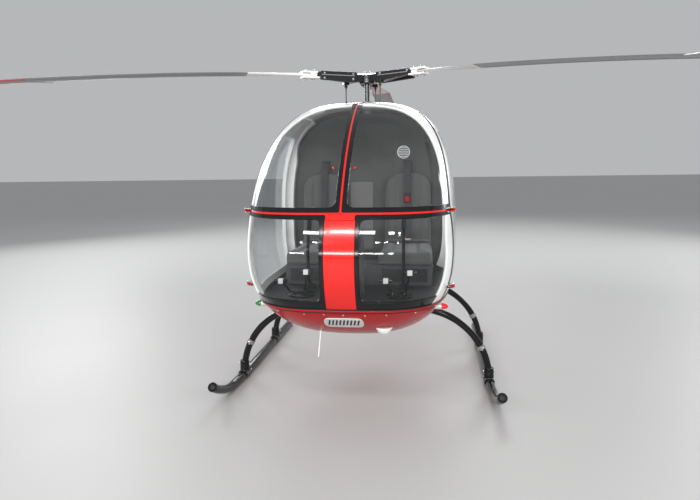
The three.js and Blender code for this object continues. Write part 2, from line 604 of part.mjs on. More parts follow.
const wingSection = (chord, thickness) => {
  const steps = 8;
  const half = Array.from({ length: steps + 1 }, (_, i) => {
    const u = (1 - Math.cos((i / steps) * Math.PI)) / 2;
    const t = 5 * thickness * (0.2969 * Math.sqrt(u) - 0.126 * u - 0.3516 * u ** 2
      + 0.2843 * u ** 3 - 0.1036 * u ** 4);
    return [u * chord, t];
  });
  const upper = half.slice(1, -1).map(([u, t]) => [u, t]);
  const lower = half.slice(1, -1).map(([u, t]) => [u, -t]).reverse();
  return [[0, 0], ...upper, [chord, 0], ...lower];
};
function finBetween(stations) {
  return solid(loft(stations.map(([y, z, chord, thickness]) =>
    wingSection(chord, thickness).map(([u, t]) => new THREE.Vector3(t, y + u, z)))));
}
const boomHole = bar([[0, 3000, boomAt(3000).z], [0, 4400, boomAt(4400).z]],
  [boomAt(3000).radius + SEAT_GAP, boomAt(4400).radius + SEAT_GAP], 24);
const upperFin = finBetween([[3560, 1540, 380, 34], [3800, 2190, 220, 22]]);
const lowerFin = finBetween([[3760, 900, 190, 20], [3560, 1540, 380, 34]]);
add('upper_fin', cut(upperFin, boomHole, block([-100, 3000, 1300], [100, 4400, 1541])), 'bellyRed');
add('lower_fin', cut(lowerFin, boomHole, block([-100, 3000, 1539], [100, 4400, 1800])), 'bellyRed');

const stabiliserY = 2700;
const stabiliserHole = bar([[0, 2300, boomAt(2300).z], [0, 3200, boomAt(3200).z]],
  [boomAt(2300).radius + SEAT_GAP, boomAt(3200).radius + SEAT_GAP], 24);
[['left', 1], ['right', -1]].forEach(([side, sign]) => {
  const half = solid(loft([[0, 250, 26], [sign * 560, 210, 20]].map(([x, chord, thickness]) =>
    wingSection(chord, thickness).map(([u, t]) =>
      new THREE.Vector3(x, stabiliserY + u, boomAt(stabiliserY).z + t)))));
  const outboard = block([Math.min(sign * 30, sign * 900), 2000, 1000],
    [Math.max(sign * 30, sign * 900), 3500, 2000]);
  add(`stabiliser_${side}`, cut(common(half, outboard), stabiliserHole), 'bellyRed');
});

const gearboxY = TAIL_ROTOR.y;
const tailCase = join(
  block([-62, BOOM.endY + SEAT_GAP, TAIL_ROTOR.z - 110], [62, gearboxY + 75, TAIL_ROTOR.z + 55]),
  bar([[40, gearboxY, TAIL_ROTOR.z], [120, gearboxY, TAIL_ROTOR.z]], 38, 16));
add('tail_gearbox', cut(tailCase, join(upperFin, lowerFin)), 'castMetal');
const guardRadius = 11;
const finFoot = 900 - SEAT_GAP - guardRadius;
add('tail_guard', bar([[0, 3765, finFoot], [0, 3955, finFoot], [0, 4150, finFoot - 12],
  [0, 4400, finFoot + 10], [0, 4620, finFoot + 60]], guardRadius, 10), 'tube');

// Main rotor: mast, hub plate, blade grips, blades, pitch links and swashplate

const polar = (radius, angle, z) => {
  const turn = THREE.MathUtils.degToRad(angle);
  return [radius * Math.cos(turn), radius * Math.sin(turn), z];
};
const spun = (body, angle) => {
  const geometry = geometryOf(body);
  geometry.rotateZ(THREE.MathUtils.degToRad(angle));
  return solid(geometry);
};
const aroundMast = (body) => Object.values(BLADE_ANGLES).map((angle) => spun(body, angle));
const mastSeat = bar([[0, 0, 2000], [0, 0, 2400]], MAST_RADIUS + SEAT_GAP, 20);

const HEAD = { coreRadius: 62, low: HUB_Z - 45, high: HUB_Z + 22 };
const CAP = { thickness: 10, starRadius: 92, waistRadius: 40, domeTop: 30 };
const mastTop = HEAD.high + 6;
add('rotor_mast', bar([[0, 0, boreBottom + SEAT_GAP], [0, 0, mastTop]], MAST_RADIUS, 20), 'steel');
const starCorners = Object.values(BLADE_ANGLES).flatMap((angle) => [
  polar(CAP.starRadius, angle, 0).slice(0, 2), polar(CAP.waistRadius, angle + 60, 0).slice(0, 2)]);
const capPlate = join(prism(starCorners, 'z', HEAD.high + SEAT_GAP, HEAD.high + CAP.thickness),
  bar([[0, 0, HEAD.high + CAP.thickness - 1], [0, 0, HEAD.high + CAP.domeTop]], [34, 16], 18));
add('hub_cap', cut(capPlate, bar([[0, 0, HUB_Z], [0, 0, mastTop + SEAT_GAP]],
  MAST_RADIUS + SEAT_GAP, 20)), 'steel');

// Each grip is drawn along x, the leading side towards +y: a tapered arm with a deep
// plate on its leading side, two fork plates that hold the blade's root, and on the
// trailing side a horn for the pitch link.
const bladeZ = HUB_Z + 7;
const bladeDrop = (radius) => {
  const beyond = Math.max(radius - BLADE.root - BLADE.inGrip, 0) / 1000;
  return 25 * beyond + 19.2 * beyond ** 2;
};
// Columns: radius, chord as a share of the full chord, thickness as a share.
const BLADE_STATIONS = [
  [BLADE.root, 0.42, 1.1], [BLADE.root + BLADE.inGrip, 0.46, 1.1], [620, 0.5, 1.05],
  [950, 1, 1], [1500, 1, 1], [2000, 1, 1], [2500, 1, 1], [2900, 1, 1],
  [ROTOR_RADIUS - 40, 1, 0.95], [ROTOR_RADIUS, 0.72, 0.5]];
const AHEAD_OF_AXIS = 0.35;      // share of the chord ahead of the pitch axis
const blade = solid(loft(BLADE_STATIONS.map(([radius, chordShare, thicknessShare]) => {
  const chord = BLADE.chord * chordShare;
  return wingSection(chord, BLADE.thickness * thicknessShare).map(([u, t]) =>
    new THREE.Vector3(radius, chord * AHEAD_OF_AXIS - u, bladeZ - bladeDrop(radius) + t));
})));
Object.entries(BLADE_ANGLES).forEach(([number, angle]) => {
  add(`rotor_blade_${number}`, spun(blade, angle), 'bladeGrey');
});
const GRIP = { halfWidth: 42, inner: 110, outer: 420, plateSide: 60, plateEnd: 400, fork: 13 };
const rootHalf = (BLADE.thickness * BLADE_STATIONS[0][2]) / 2 + SEAT_GAP;
const forkEnd = BLADE.root + BLADE.inGrip;
const fork = (low, high) => block([GRIP.outer - 20, -GRIP.halfWidth, bladeZ + low],
  [forkEnd, GRIP.halfWidth, bladeZ + high]);
const taper = prism([[GRIP.inner, HUB_Z - 40], [GRIP.outer, HUB_Z - 8], [GRIP.outer, HUB_Z + 32],
  [GRIP.inner, HUB_Z + 34]], 'y', -GRIP.halfWidth, GRIP.halfWidth);
const leadingPlate = prism([[GRIP.inner, HUB_Z - 42], [GRIP.plateEnd, HUB_Z - 30],
  [GRIP.plateEnd, HUB_Z + 34], [GRIP.inner, HUB_Z + 34]], 'y', GRIP.halfWidth - 2, GRIP.plateSide);
const HORN = { x: 157, y: -50, half: 22, low: HUB_Z - 50, high: HUB_Z - 26 };
const horn = block([HORN.x - HORN.half, HORN.y - HORN.half, HORN.low],
  [HORN.x + HORN.half, HORN.y + HORN.half, HORN.high]);
const hubArm = block([HEAD.coreRadius - 22, -34, HUB_Z - 30], [GRIP.inner + 30, 34, HEAD.high]);
const hubCore = bar([[0, 0, HEAD.low], [0, 0, HEAD.high]], HEAD.coreRadius, 24);
const armAndGrip = join(hubArm, taper, leadingPlate, horn,
  fork(rootHalf, rootHalf + GRIP.fork), fork(-rootHalf - GRIP.fork, -rootHalf));
add('rotor_hub', cut(join(hubCore, ...aroundMast(armAndGrip)), mastSeat), 'black');

const SWASH = { z: 2060, thickness: 20, radius: 84, arm: 9, link: 10 };
const link = join(
  bar([[60, -20, SWASH.z + 10], [HORN.x, HORN.y, SWASH.z + 10]], SWASH.arm, 8),
  bar([[HORN.x, HORN.y, SWASH.z + 2], [HORN.x, HORN.y, HORN.low - SEAT_GAP]], SWASH.link, 10));
const ring = bar([[0, 0, SWASH.z], [0, 0, SWASH.z + SWASH.thickness]], SWASH.radius, 28);
add('swashplate', cut(join(ring, ...aroundMast(link)), mastSeat), 'steel');

// Tail rotor: hub on the gearbox shaft and two blades

const tailHubX = TAIL_ROTOR.x;
add('tail_rotor_hub', join(
  bar([[120 + SEAT_GAP, gearboxY, TAIL_ROTOR.z], [tailHubX + 30, gearboxY, TAIL_ROTOR.z]], 17, 14),
  block([tailHubX - 16, gearboxY - 22, TAIL_ROTOR.z - 95],
    [tailHubX + 16, gearboxY + 22, TAIL_ROTOR.z + 95])),
'steel');
[['1', 1], ['2', -1]].forEach(([number, sign]) => {
  const stations = [[95 + SEAT_GAP, 0.6], [200, 1], [TAIL_ROTOR.radius, 1]];
  const body = solid(loft(stations.map(([radius, share]) =>
    wingSection(TAIL_ROTOR.chord * share, 13).map(([u, t]) => new THREE.Vector3(
      tailHubX + t, gearboxY + (u - TAIL_ROTOR.chord * share * 0.35) * sign,
      TAIL_ROTOR.z + sign * radius)))));
  add(`tail_blade_${number}`, body, 'bladeGrey');
});

const helicopter = new THREE.Group();
helicopter.position.set(0, MAST_Y, 0);
pieces.forEach((piece) => helicopter.add(piece));

export default helicopter;
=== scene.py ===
import math

import bmesh
import bpy
import numpy as np
from mathutils import Matrix, Vector
from mathutils.geometry import delaunay_2d_cdt


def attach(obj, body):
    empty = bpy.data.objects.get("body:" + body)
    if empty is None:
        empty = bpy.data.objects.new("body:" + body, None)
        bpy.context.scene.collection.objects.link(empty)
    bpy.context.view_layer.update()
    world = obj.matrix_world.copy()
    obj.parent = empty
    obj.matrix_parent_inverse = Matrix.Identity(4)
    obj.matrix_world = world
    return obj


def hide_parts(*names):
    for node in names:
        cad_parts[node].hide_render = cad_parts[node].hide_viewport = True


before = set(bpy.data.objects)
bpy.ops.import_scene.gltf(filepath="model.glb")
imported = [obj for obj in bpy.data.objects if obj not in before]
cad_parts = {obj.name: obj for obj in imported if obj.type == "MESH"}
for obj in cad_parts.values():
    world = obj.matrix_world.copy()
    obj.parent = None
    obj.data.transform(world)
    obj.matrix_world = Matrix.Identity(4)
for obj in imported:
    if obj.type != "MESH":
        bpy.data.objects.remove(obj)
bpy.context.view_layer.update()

# Camera. It stands in front of the nose, a little to the aircraft's left, at a
# person's eye height, turned slightly towards the cabin and tipped down.

camera_place = (0.5011, -6.2174, 1.62)
camera_turn, camera_dip, camera_roll = 0.1366, 0.1435, 0.0145
lens = bpy.data.cameras.new("viewing_camera")
lens.lens, lens.sensor_width = 30.79, 36
lens.clip_start, lens.clip_end = 0.05, 200
camera = bpy.data.objects.new("viewing_camera", lens)
bpy.context.collection.objects.link(camera)
camera.matrix_world = (Matrix.Translation(camera_place) @ Matrix.Rotation(camera_turn, 4, "Z")
                       @ Matrix.Rotation(math.pi / 2 - camera_dip, 4, "X")
                       @ Matrix.Rotation(-camera_roll, 4, "Z"))
bpy.context.scene.camera = camera

# Belly shell. A moulded red shell under the whole cabin, from its seam lip down, gloss
# painted. The cabin's skin is one smooth egg, so its shape and the way of cutting
# panels out of it are set down here, where the first panel needs them.

mast_y = -1.46
cabin_middle = np.array((0.0, mast_y - 0.484, 1.111))
cabin_half_width, cabin_nose_reach, cabin_rise, cabin_drop = 0.664, 1.1, 0.93, 0.626
cabin_rear_y = mast_y - 0.065
seam_z = 0.8
skin_thickness = 0.014
chart_scale = 0.8


def skin_section(z):
    """Half width, reach to the nose and plan power of the cabin at a height."""
    up = z > cabin_middle[2]
    h = np.abs(z - cabin_middle[2]) / np.where(up, cabin_rise, cabin_drop)
    h = np.clip(h, 0, 1)
    side, nose = np.where(up, 3.1, 2.48), np.where(up, 1.5, 2.45)
    width = cabin_half_width * (1 - h ** side) ** (1 / side)
    reach = cabin_nose_reach * (1 - h ** nose) ** (1 / nose)
    return width, reach, 3.77 - np.where(up, 1.8, 1.17) * h ** 2


def skin_side(y, z):
    """The skin's x, on the left side, at a station and height."""
    width, reach, power = skin_section(np.asarray(z, float))
    ahead = np.clip((cabin_middle[1] - np.asarray(y, float)) / np.maximum(reach, 1e-9), 0, 1)
    return width * (1 - ahead ** power) ** (1 / power)


def skin_front(x, z):
    """The skin's y at the nose side, at a distance from the middle and a height."""
    width, reach, power = skin_section(np.asarray(z, float))
    out = np.clip(np.abs(x) / np.maximum(width, 1e-9), 0, 1)
    return cabin_middle[1] - reach * (1 - out ** power) ** (1 / power)


def skin_top(x, y):
    """The skin's upper z over a point of the plan."""
    x, y = np.broadcast_arrays(np.asarray(x, float), np.asarray(y, float))
    low, high = np.full(x.shape, cabin_middle[2]), np.full(x.shape, cabin_middle[2] + cabin_rise)
    for _ in range(40):
        z = (low + high) / 2
        inside = (skin_side(y, z) > np.abs(x)) & (cabin_middle[1] - skin_section(z)[1] < y)
        low, high = np.where(inside, z, low), np.where(inside, high, z)
    return low


def to_chart(points):
    """Points of the skin as two numbers each, laid out flat around the nose."""
    d = np.asarray(points, float) - cabin_middle
    across = np.hypot(d[:, 0], d[:, 2])
    lean = np.arctan2(across, -d[:, 1])
    rho = np.where(d[:, 1] <= 0, chart_scale * lean, chart_scale * math.pi / 2 + d[:, 1])
    turn = np.arctan2(d[:, 2], d[:, 0])
    return np.stack([rho * np.cos(turn), rho * np.sin(turn)], 1)


def skin_points(chart):
    rho, turn = np.hypot(chart[:, 0], chart[:, 1]), np.arctan2(chart[:, 1], chart[:, 0])
    lean = np.minimum(rho / chart_scale, math.pi / 2)
    aft = np.maximum(rho - chart_scale * math.pi / 2, 0)
    way = np.stack([np.sin(lean) * np.cos(turn), -np.cos(lean), np.sin(lean) * np.sin(turn)], 1)
    low, high = np.zeros(len(chart)), np.full(len(chart), 1.6)
    for _ in range(42):
        reach = (low + high) / 2
        p = way * reach[:, None]
        width, nose, power = skin_section(p[:, 2] + cabin_middle[2])
        beyond = np.abs(p[:, 2]) >= np.where(p[:, 2] > 0, cabin_rise, cabin_drop)
        value = ((np.abs(p[:, 0]) / np.maximum(width, 1e-6)) ** power
                 + (-np.minimum(p[:, 1], 0) / np.maximum(nose, 1e-6)) ** power)
        inside = (value < 1) & ~beyond
        low, high = np.where(inside, reach, low), np.where(inside, high, reach)
    placed = way * low[:, None] + cabin_middle
    placed[:, 1] += aft
    return placed


def skin_normals(chart):
    step = 2e-4
    across = skin_points(chart + (step, 0)) - skin_points(chart - (step, 0))
    along = skin_points(chart + (0, step)) - skin_points(chart - (0, step))
    n = np.cross(across, along)
    n /= np.linalg.norm(n, axis=1)[:, None] + 1e-12
    outward = skin_points(chart) - cabin_middle
    outward[:, 1] = np.minimum(outward[:, 1], 0)
    return n * np.sign((n * outward).sum(1))[:, None]


def even(points, step=0.01):
    """A line with its points a step apart, its own ends kept."""
    points = np.asarray(points, float)
    lengths = np.r_[0, np.cumsum(np.linalg.norm(np.diff(points, axis=0), axis=1))]
    count = max(int(round(lengths[-1] / step)), 1)
    at = np.linspace(0, lengths[-1], count + 1)
    return np.stack([np.interp(at, lengths, points[:, k]) for k in range(points.shape[1])], 1)


def rounded_line(corners, closed=False, step=0.006):
    """A flat line through corners given as (u, v, radius), its corners rounded."""
    corners = [(np.array(c[:2], float), c[2]) for c in corners]
    line = []
    for i, (corner, radius) in enumerate(corners):
        if not closed and i in (0, len(corners) - 1):
            line.append(corner)
            continue
        before, after = corners[i - 1][0] - corner, corners[(i + 1) % len(corners)][0] - corner
        start = corner + before / np.linalg.norm(before) * radius
        end = corner + after / np.linalg.norm(after) * radius
        for t in np.linspace(0, 1, 9):
            line.append((1 - t) ** 2 * start + 2 * t * (1 - t) * corner + t ** 2 * end)
    if closed:
        line.append(line[0])
    return even(line, step)[: -1 if closed else None]


def inside_loops(points, loops):
    inside = np.zeros(len(points), bool)
    for loop in loops:
        a, b = loop, np.roll(loop, -1, axis=0)
        for (ax, ay), (bx, by) in zip(a, b):
            crosses = (ay > points[:, 1]) != (by > points[:, 1])
            with np.errstate(divide="ignore", invalid="ignore"):
                at = (bx - ax) * (points[:, 1] - ay) / (by - ay) + ax
            inside ^= crosses & (points[:, 0] < at)
    return inside


def loop_sides(loop):
    """Unit vectors that point to the left of a closed flat line, at each of its points."""
    along = np.roll(loop, -1, axis=0) - np.roll(loop, 1, axis=0)
    along /= np.linalg.norm(along, axis=1)[:, None] + 1e-12
    return np.stack([-along[:, 1], along[:, 0]], 1)


slot_names = {}


def dressed(obj, material, replaces=(), body="airframe", slot=None):
    """A finished piece: its finish, the body it moves with, and the CAD nodes it stands for.
    Its slot, the finish's own unless the piece names another, is looked up but not kept."""
    bpy.context.collection.objects.link(obj)
    obj.data.materials.clear()
    obj.data.materials.append(material)
    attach(obj, body)
    slot or slot_names[material.name]
    if replaces:
        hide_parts(*replaces)


def panel(name, outlines, depths, material, replaces=(), edge=0.0015, step=0.014, **rides):
    """A panel of the cabin's skin: chart outlines, the first round it and the rest
    its holes, between two depths under the skin, with softened edges. The second depth
    may be a rule that gives it for each place."""
    outer, inner = depths
    loops = []
    for i, loop in enumerate(outlines):
        area = 0.5 * np.sum(loop[:, 0] * np.roll(loop[:, 1], -1) - np.roll(loop[:, 0], -1) * loop[:, 1])
        loops.append(loop if (area > 0) == (i == 0) else loop[::-1])
    face_loops = [loop + loop_sides(loop) * edge for loop in loops]
    border = np.concatenate(face_loops)
    low, high = border.min(0), border.max(0)
    columns = np.arange(low[0], high[0], step)
    rows = np.arange(low[1], high[1], step * 0.866)
    grid = np.array([(x + (step / 2 if j % 2 else 0), y) for j, y in enumerate(rows) for x in columns])
    grid = grid[inside_loops(grid, face_loops)]
    keep = np.ones(len(grid), bool)
    for start in range(0, len(grid), 2000):
        gap = np.linalg.norm(grid[start:start + 2000, None] - border[None], axis=2).min(1)
        keep[start:start + 2000] = gap > step * 0.55
    flat = np.concatenate([border, grid[keep]])
    edges, first = [], 0
    for loop in face_loops:
        edges += [(first + i, first + (i + 1) % len(loop)) for i in range(len(loop))]
        first += len(loop)
    found = delaunay_2d_cdt([Vector(p) for p in flat], edges, [], 0, 1e-7)
    place = [None] * len(flat)
    for i, origins in enumerate(found[3]):
        for origin in origins:
            place[origin] = i
    flat = np.array([tuple(v) for v in found[0]])
    triangles = np.array(found[2])
    triangles = triangles[inside_loops(flat[triangles].mean(1), face_loops)]
    p, q, r = (flat[triangles[:, k]] for k in range(3))
    turn = (q[:, 0] - p[:, 0]) * (r[:, 1] - p[:, 1]) - (q[:, 1] - p[:, 1]) * (r[:, 0] - p[:, 0])
    triangles[turn > 0] = triangles[turn > 0][:, ::-1]
    skin, facing = skin_points(flat), skin_normals(flat)
    rim = np.concatenate(loops)
    rim_skin, rim_facing = skin_points(rim), skin_normals(rim)
    aside = np.concatenate([np.roll(loop, -1, axis=0) - np.roll(loop, 1, axis=0)
                            for loop in [skin_points(loop) for loop in loops]])
    aside = np.cross(aside, rim_facing)
    aside /= np.linalg.norm(aside, axis=1)[:, None] + 1e-12
    away = rim_skin - skin_points(rim + np.concatenate([loop_sides(loop) for loop in loops]) * 1e-3)
    aside *= np.sign((aside * away).sum(1))[:, None]
    count, ring = len(flat), len(rim)
    under, rim_under = [inner(places) if callable(inner) else inner for places in (skin, rim_skin)]
    verts = np.concatenate([skin - facing * outer, skin - facing * under,
                            rim_skin - rim_facing * (outer + edge),
                            rim_skin - rim_facing * (rim_under - edge)])
    normals = np.concatenate([facing, -facing, aside, aside])
    faces = [tuple(t) for t in triangles] + [tuple(t[::-1] + count) for t in triangles]
    first = 0
    for loop in loops:
        for i in range(len(loop)):
            a, b = first + i, first + (i + 1) % len(loop)
            rows = [(place[a], place[b]), (2 * count + a, 2 * count + b),
                    (2 * count + ring + a, 2 * count + ring + b), (count + place[a], count + place[b])]
            faces += [(x[0], x[1], y[1], y[0]) for x, y in zip(rows, rows[1:])]
        first += len(loop)
    mesh = bpy.data.meshes.new(name)
    mesh.from_pydata([tuple(v) for v in verts], [], [tuple(int(i) for i in f) for f in faces])
    mesh.validate()
    bm = bmesh.new()
    bm.from_mesh(mesh)
    bmesh.ops.recalc_face_normals(bm, faces=bm.faces)
    bm.to_mesh(mesh)
    bm.free()
    mesh.polygons.foreach_set("use_smooth", [True] * len(mesh.polygons))
    mesh.normals_split_custom_set_from_vertices([tuple(n) for n in normals])
    dressed(bpy.data.objects.new(name, mesh), material, replaces, **rides)


def level_line(z, from_y, to_x):
    """Along the left side of the skin at one height, from a station forward to a
    distance from the middle line."""
    width, reach, power = skin_section(np.float64(z))
    a = np.linspace(math.pi / 2, 0, 3000)
    x = width * np.sin(a) ** (2 / power)
    y = cabin_middle[1] - reach * np.cos(a) ** (2 / power)
    keep = (y < from_y) & (x > to_x)
    line = np.stack([x[keep], y[keep]], 1)
    start = [[float(skin_side(from_y, z)), from_y]]
    line = np.concatenate([start, line, [[to_x, float(skin_front(to_x, z))]]])
    if from_y > cabin_middle[1]:
        line = np.concatenate([[[width, from_y], [width, cabin_middle[1]]], line[1:]])
    return even(np.c_[line, np.full(len(line), z)])


def rear_edge(z, over):
    """The skin's rear edge from the right side's point at a height to the left's, over
    the roof or under the belly."""
    width = float(skin_section(np.float64(z))[0])
    lean = math.atan2(z - cabin_middle[2], width)
    rho = chart_scale * math.pi / 2 + cabin_rear_y - cabin_middle[1]
    turns = np.linspace(-math.pi - lean, lean - (2 * math.pi if over else 0), 260)
    return np.stack([rho * np.cos(turns), rho * np.sin(turns)], 1)


def chart_loop(*lines):
    """A closed chart outline from lines on the skin, given in turn."""
    flat = [to_chart(line) if line.shape[1] == 3 else line for line in lines]
    joined = []
    for line, following in zip(flat, flat[1:] + flat[:1]):
        meets = np.linalg.norm(line[-1] - following[0]) < 1e-5
        joined.append(line[:-1] if meets else line)
    return np.concatenate(joined)


def flipped(line):
    return line * (-1, 1, 1) if line.shape[1] == 3 else line * (-1, 1)


def both_sides(lines, between=()):
    """A closed outline from lines on the left, what lies between, and the lines' mirror
    images back along the right."""
    return chart_loop(*lines, *between, *[flipped(line)[::-1] for line in lines[::-1]])


def level_strip(high, low):
    """The outline of a strip of the skin between two heights, from one rear side forward
    round the nose to the other."""
    upper, lower = level_line(high, cabin_rear_y, 0.0), level_line(low, cabin_rear_y, 0.0)
    return chart_loop(upper, flipped(upper)[::-1], flipped(lower), lower[::-1])


def node(tree, kind, feeds=(), **settings):
    """A node, its settings by name, and what feeds its inputs: a socket or a value."""
    made = tree.nodes.new(kind)
    for key, value in settings.items():
        setattr(made, key, value)
    for target, source in dict(feeds).items():
        if isinstance(source, bpy.types.NodeSocket):
            tree.links.new(source, made.inputs[target])
        else:
            made.inputs[target].default_value = source
    return made


def object_noise(tree, scale, detail, roughness=0.5):
    """Noise laid out in the piece's own coordinates."""
    where = node(tree, "ShaderNodeTexCoord").outputs["Object"]
    return node(tree, "ShaderNodeTexNoise", {"Vector": where, "Scale": scale, "Detail": detail,
                                             "Roughness": roughness}).outputs["Fac"]


def relief(tree, height, strength, distance):
    """The normal of a surface with small heights on it."""
    return node(tree, "ShaderNodeBump", {"Height": height, "Strength": strength,
                                         "Distance": distance}).outputs["Normal"]


def finish(name, slot, colour, roughness, metallic=0.0, coat=0.0, coat_roughness=0.05, sheen=0.0,
           mottle=0.06, mottle_scale=5.0, grain=0.0, grain_scale=600.0, grain_depth=0.0003,
           dust=0.0, specular=0.5):
    """A solid finish: slight shifts of colour and gloss, a surface grain, and dust."""
    material = bpy.data.materials.new(name)
    material.use_nodes = True
    slot_names[material.name] = slot
    tree = material.node_tree
    shader = tree.nodes["Principled BSDF"]
    for socket, value in (("Metallic", metallic), ("Coat Weight", coat),
                          ("Coat Roughness", coat_roughness), ("Sheen Weight", sheen),
                          ("Specular IOR Level", specular)):
        shader.inputs[socket].default_value = value
    broad = object_noise(tree, mottle_scale, 5.0)
    dark = [c * (1 - mottle) for c in colour] + [1]
    light = [min(c * (1 + mottle) + 0.01 * mottle, 1) for c in colour] + [1]
    shade = node(tree, "ShaderNodeMix", {"Factor": broad, "A": dark, "B": light}, data_type="RGBA")
    colour_out = shade.outputs["Result"]
    if dust:
        amount = node(tree, "ShaderNodeMapRange", {"Value": object_noise(tree, 38.0, 8.0, 0.75),
                                                   "From Min": 0.48, "From Max": 0.72, "To Max": dust})
        dusty = node(tree, "ShaderNodeMix", {"Factor": amount.outputs["Result"], "A": colour_out,
                                             "B": (0.42, 0.4, 0.37, 1)}, data_type="RGBA")
        colour_out = dusty.outputs["Result"]
    tree.links.new(colour_out, shader.inputs["Base Color"])
    worn = node(tree, "ShaderNodeMapRange", {"Value": broad, "To Min": max(roughness - 0.05, 0.02),
                                             "To Max": roughness + 0.06})
    tree.links.new(worn.outputs["Result"], shader.inputs["Roughness"])
    if grain:
        roughened(material, object_noise(tree, grain_scale, 3.0), grain, grain_depth)
    return material


def roughened(material, height, strength, distance):
    """Small heights on a finish, in place of those it had."""
    tree = material.node_tree
    tree.links.new(relief(tree, height, strength, distance), tree.nodes["Principled BSDF"].inputs["Normal"])


belly_paint = finish("belly_red_paint", "dark_red_paint", (0.4, 0.006, 0.008), 0.24, coat=0.18,
                     specular=0.2, mottle=0.04,
                     mottle_scale=2.0, dust=0.012, grain=0.06, grain_scale=180, grain_depth=0.0002)
seam_line = level_line(seam_z, cabin_rear_y, 0.0)
belly_outline = chart_loop(seam_line, flipped(seam_line)[::-1], rear_edge(seam_z, over=False))
panel("belly_shell", [belly_outline], (0.0, skin_thickness), belly_paint, ["belly"])

# Seam lip. A rolled red bead along the belly's top edge, proud of the shell, that the
# doors and the nose close down on, with a thin black rubber seal above and below it,
# and a black lining inside the shell.

rubber = finish("black_rubber", "trim_grey", (0.012, 0.012, 0.013), 0.55, grain=0.25, grain_scale=900)
# Columns: name, finish, top and bottom from the seam, outer and inner depth, edge.
for name, material, top, bottom, depths, edge in (
        ("belly_seam_lip", belly_paint, 0.0, -0.014, (-0.007, 0.002), 0.004),
        ("belly_lining", rubber, -0.002, -0.16, (skin_thickness + 0.0003, skin_thickness + 0.0025), 0.0008),
        ("seam_seal", rubber, 0.007, -0.001, (-0.0045, -0.0004), 0.0012),
        ("seam_lower_seal", rubber, -0.013, -0.023, (-0.003, 0.001), 0.0012)):
    panel(name, [level_strip(seam_z + top, seam_z + bottom)], depths, material, edge=edge, step=0.02)

# Windscreen surround. A black gloss trim moulding bonded round the four front windows:
# a level band at eye height, an upright between the upper panes, and a border below.

glass_edge_front, glass_edge_bend = mast_y - 1.32, 1.15
door_edge_front, door_edge_bend = mast_y - 1.195, 1.33
band_low, band_high = 1.318, 1.379
sill_z, strip_half, strip_border, upright_half, window_corner = 0.852, 0.086, 0.025, 0.032, 0.045
fit_gap, strip_foot, strip_top = 0.0003, seam_z + 0.0003, band_low - 0.006
left_right = ((1, "left"), (-1, "right"))


def glass_edge(z):
    """Where the glass ends at the white post, the station for a height."""
    return glass_edge_front + 0.876 * np.maximum(z - glass_edge_bend, 0) ** 1.56


def door_edge(z):
    """The door's front edge, the station for a height."""
    return door_edge_front + 1.173 * np.maximum(z - door_edge_bend, 0) ** 1.4


def swept_line(edge, shift, low_z, to_x):
    """Up the left side along one of these edges, from a height to a distance from the
    middle line."""
    def x_at(z):
        return skin_side(edge(z) + shift, z)
    low, high = 1.5, 2.04
    for _ in range(50):
        top = (low + high) / 2
        low, high = (top, high) if x_at(top) > to_x + 1e-9 else (low, top)
    z = low - (low - low_z) * np.linspace(1, 0, 900) ** 2
    line = np.c_[x_at(z), edge(z) + shift, z]
    line[-1, 0] = to_x
    return even(line)


def front_line(points):
    """A line on the nose side of the skin from (x, z) points."""
    points = np.asarray(points, float)
    return np.c_[points[:, 0], skin_front(points[:, 0], points[:, 1]), points[:, 1]]


def front_run(start, end, count=60):
    """A straight run on the nose side between two (x, z) points."""
    return even(front_line(np.linspace(start, end, count)))


def front_corner(x, z, across, up, step=0.004):
    """A rounded corner on the nose side, from its level leg to its upright one."""
    return front_line(rounded_line([(x + across, z, 0), (x, z, across), (x, z + up, 0)], step=step))


def front_loop(corners, count):
    """A closed outline of straight runs on the nose side between (x, z) corners."""
    return chart_loop(*[front_run(a, b, count) for a, b in zip(corners, corners[1:] + corners[:1])])


def side_line(points):
    """A line on the left side of the skin from (y, z) points."""
    points = np.asarray(points, float)
    return np.c_[skin_side(points[:, 0], points[:, 1]), points[:, 0], points[:, 1]]


def edge_part(edge, low_z, high_z, shift=0.0):
    z = np.linspace(low_z, high_z, 60)
    return even(side_line(np.c_[edge(z) + shift, z]))


def upper_corner(gap):
    """The line round an upper window's inner lower corner, from the glass edge along the
    band and up the upright to the glass edge again."""
    z, x = band_high + gap, upright_half + gap
    top = swept_line(glass_edge, 0, band_high, x)[-1]
    return [level_line(z, float(glass_edge(z)), x + window_corner),
            front_corner(x, z, window_corner, window_corner),
            front_run((x, z + window_corner), (x, top[2]), 80)]


def lower_corners(gap):
    """The line round a lower window from the glass edge at the sill to the strip's
    border, up it, and back along the band to the glass edge."""
    x, low, high = strip_half + strip_border + gap, sill_z + gap, band_low - gap
    return [level_line(low, float(glass_edge(low)), x + window_corner),
            front_corner(x, low, window_corner, window_corner),
            front_run((x, low + window_corner), (x, high - window_corner)),
            front_corner(x, high, window_corner, -window_corner)[::-1],
            level_line(high, float(glass_edge(high)), x + window_corner)[::-1]]


upper_lines = upper_corner(0)
upright_top = upper_lines[2][-1][2]
surround_strip, surround_head = strip_half + fit_gap, band_low - 0.0057
surround_left = [front_run((0.001, upright_top), (upright_half, upright_top), 6),
    *[line[::-1] for line in upper_lines[::-1]], edge_part(glass_edge, band_low, band_high)[::-1],
    *[line[::-1] for line in lower_corners(0)[::-1]], edge_part(glass_edge, seam_z, sill_z)[::-1],
    level_line(strip_foot, glass_edge_front, surround_strip),
    front_run((surround_strip, seam_z), (surround_strip, surround_head)),
    front_run((strip_half, surround_head), (0.001, surround_head), 12)]
trim_black = finish("gloss_black_trim", "black_paint", (0.004, 0.004, 0.005), 0.16, coat=0.15, mottle=0.2,
                    specular=0.3)
panel("windscreen_surround", [both_sides(surround_left)], (0.0, 0.012), trim_black,
      ["windscreen_frame"], step=0.012)

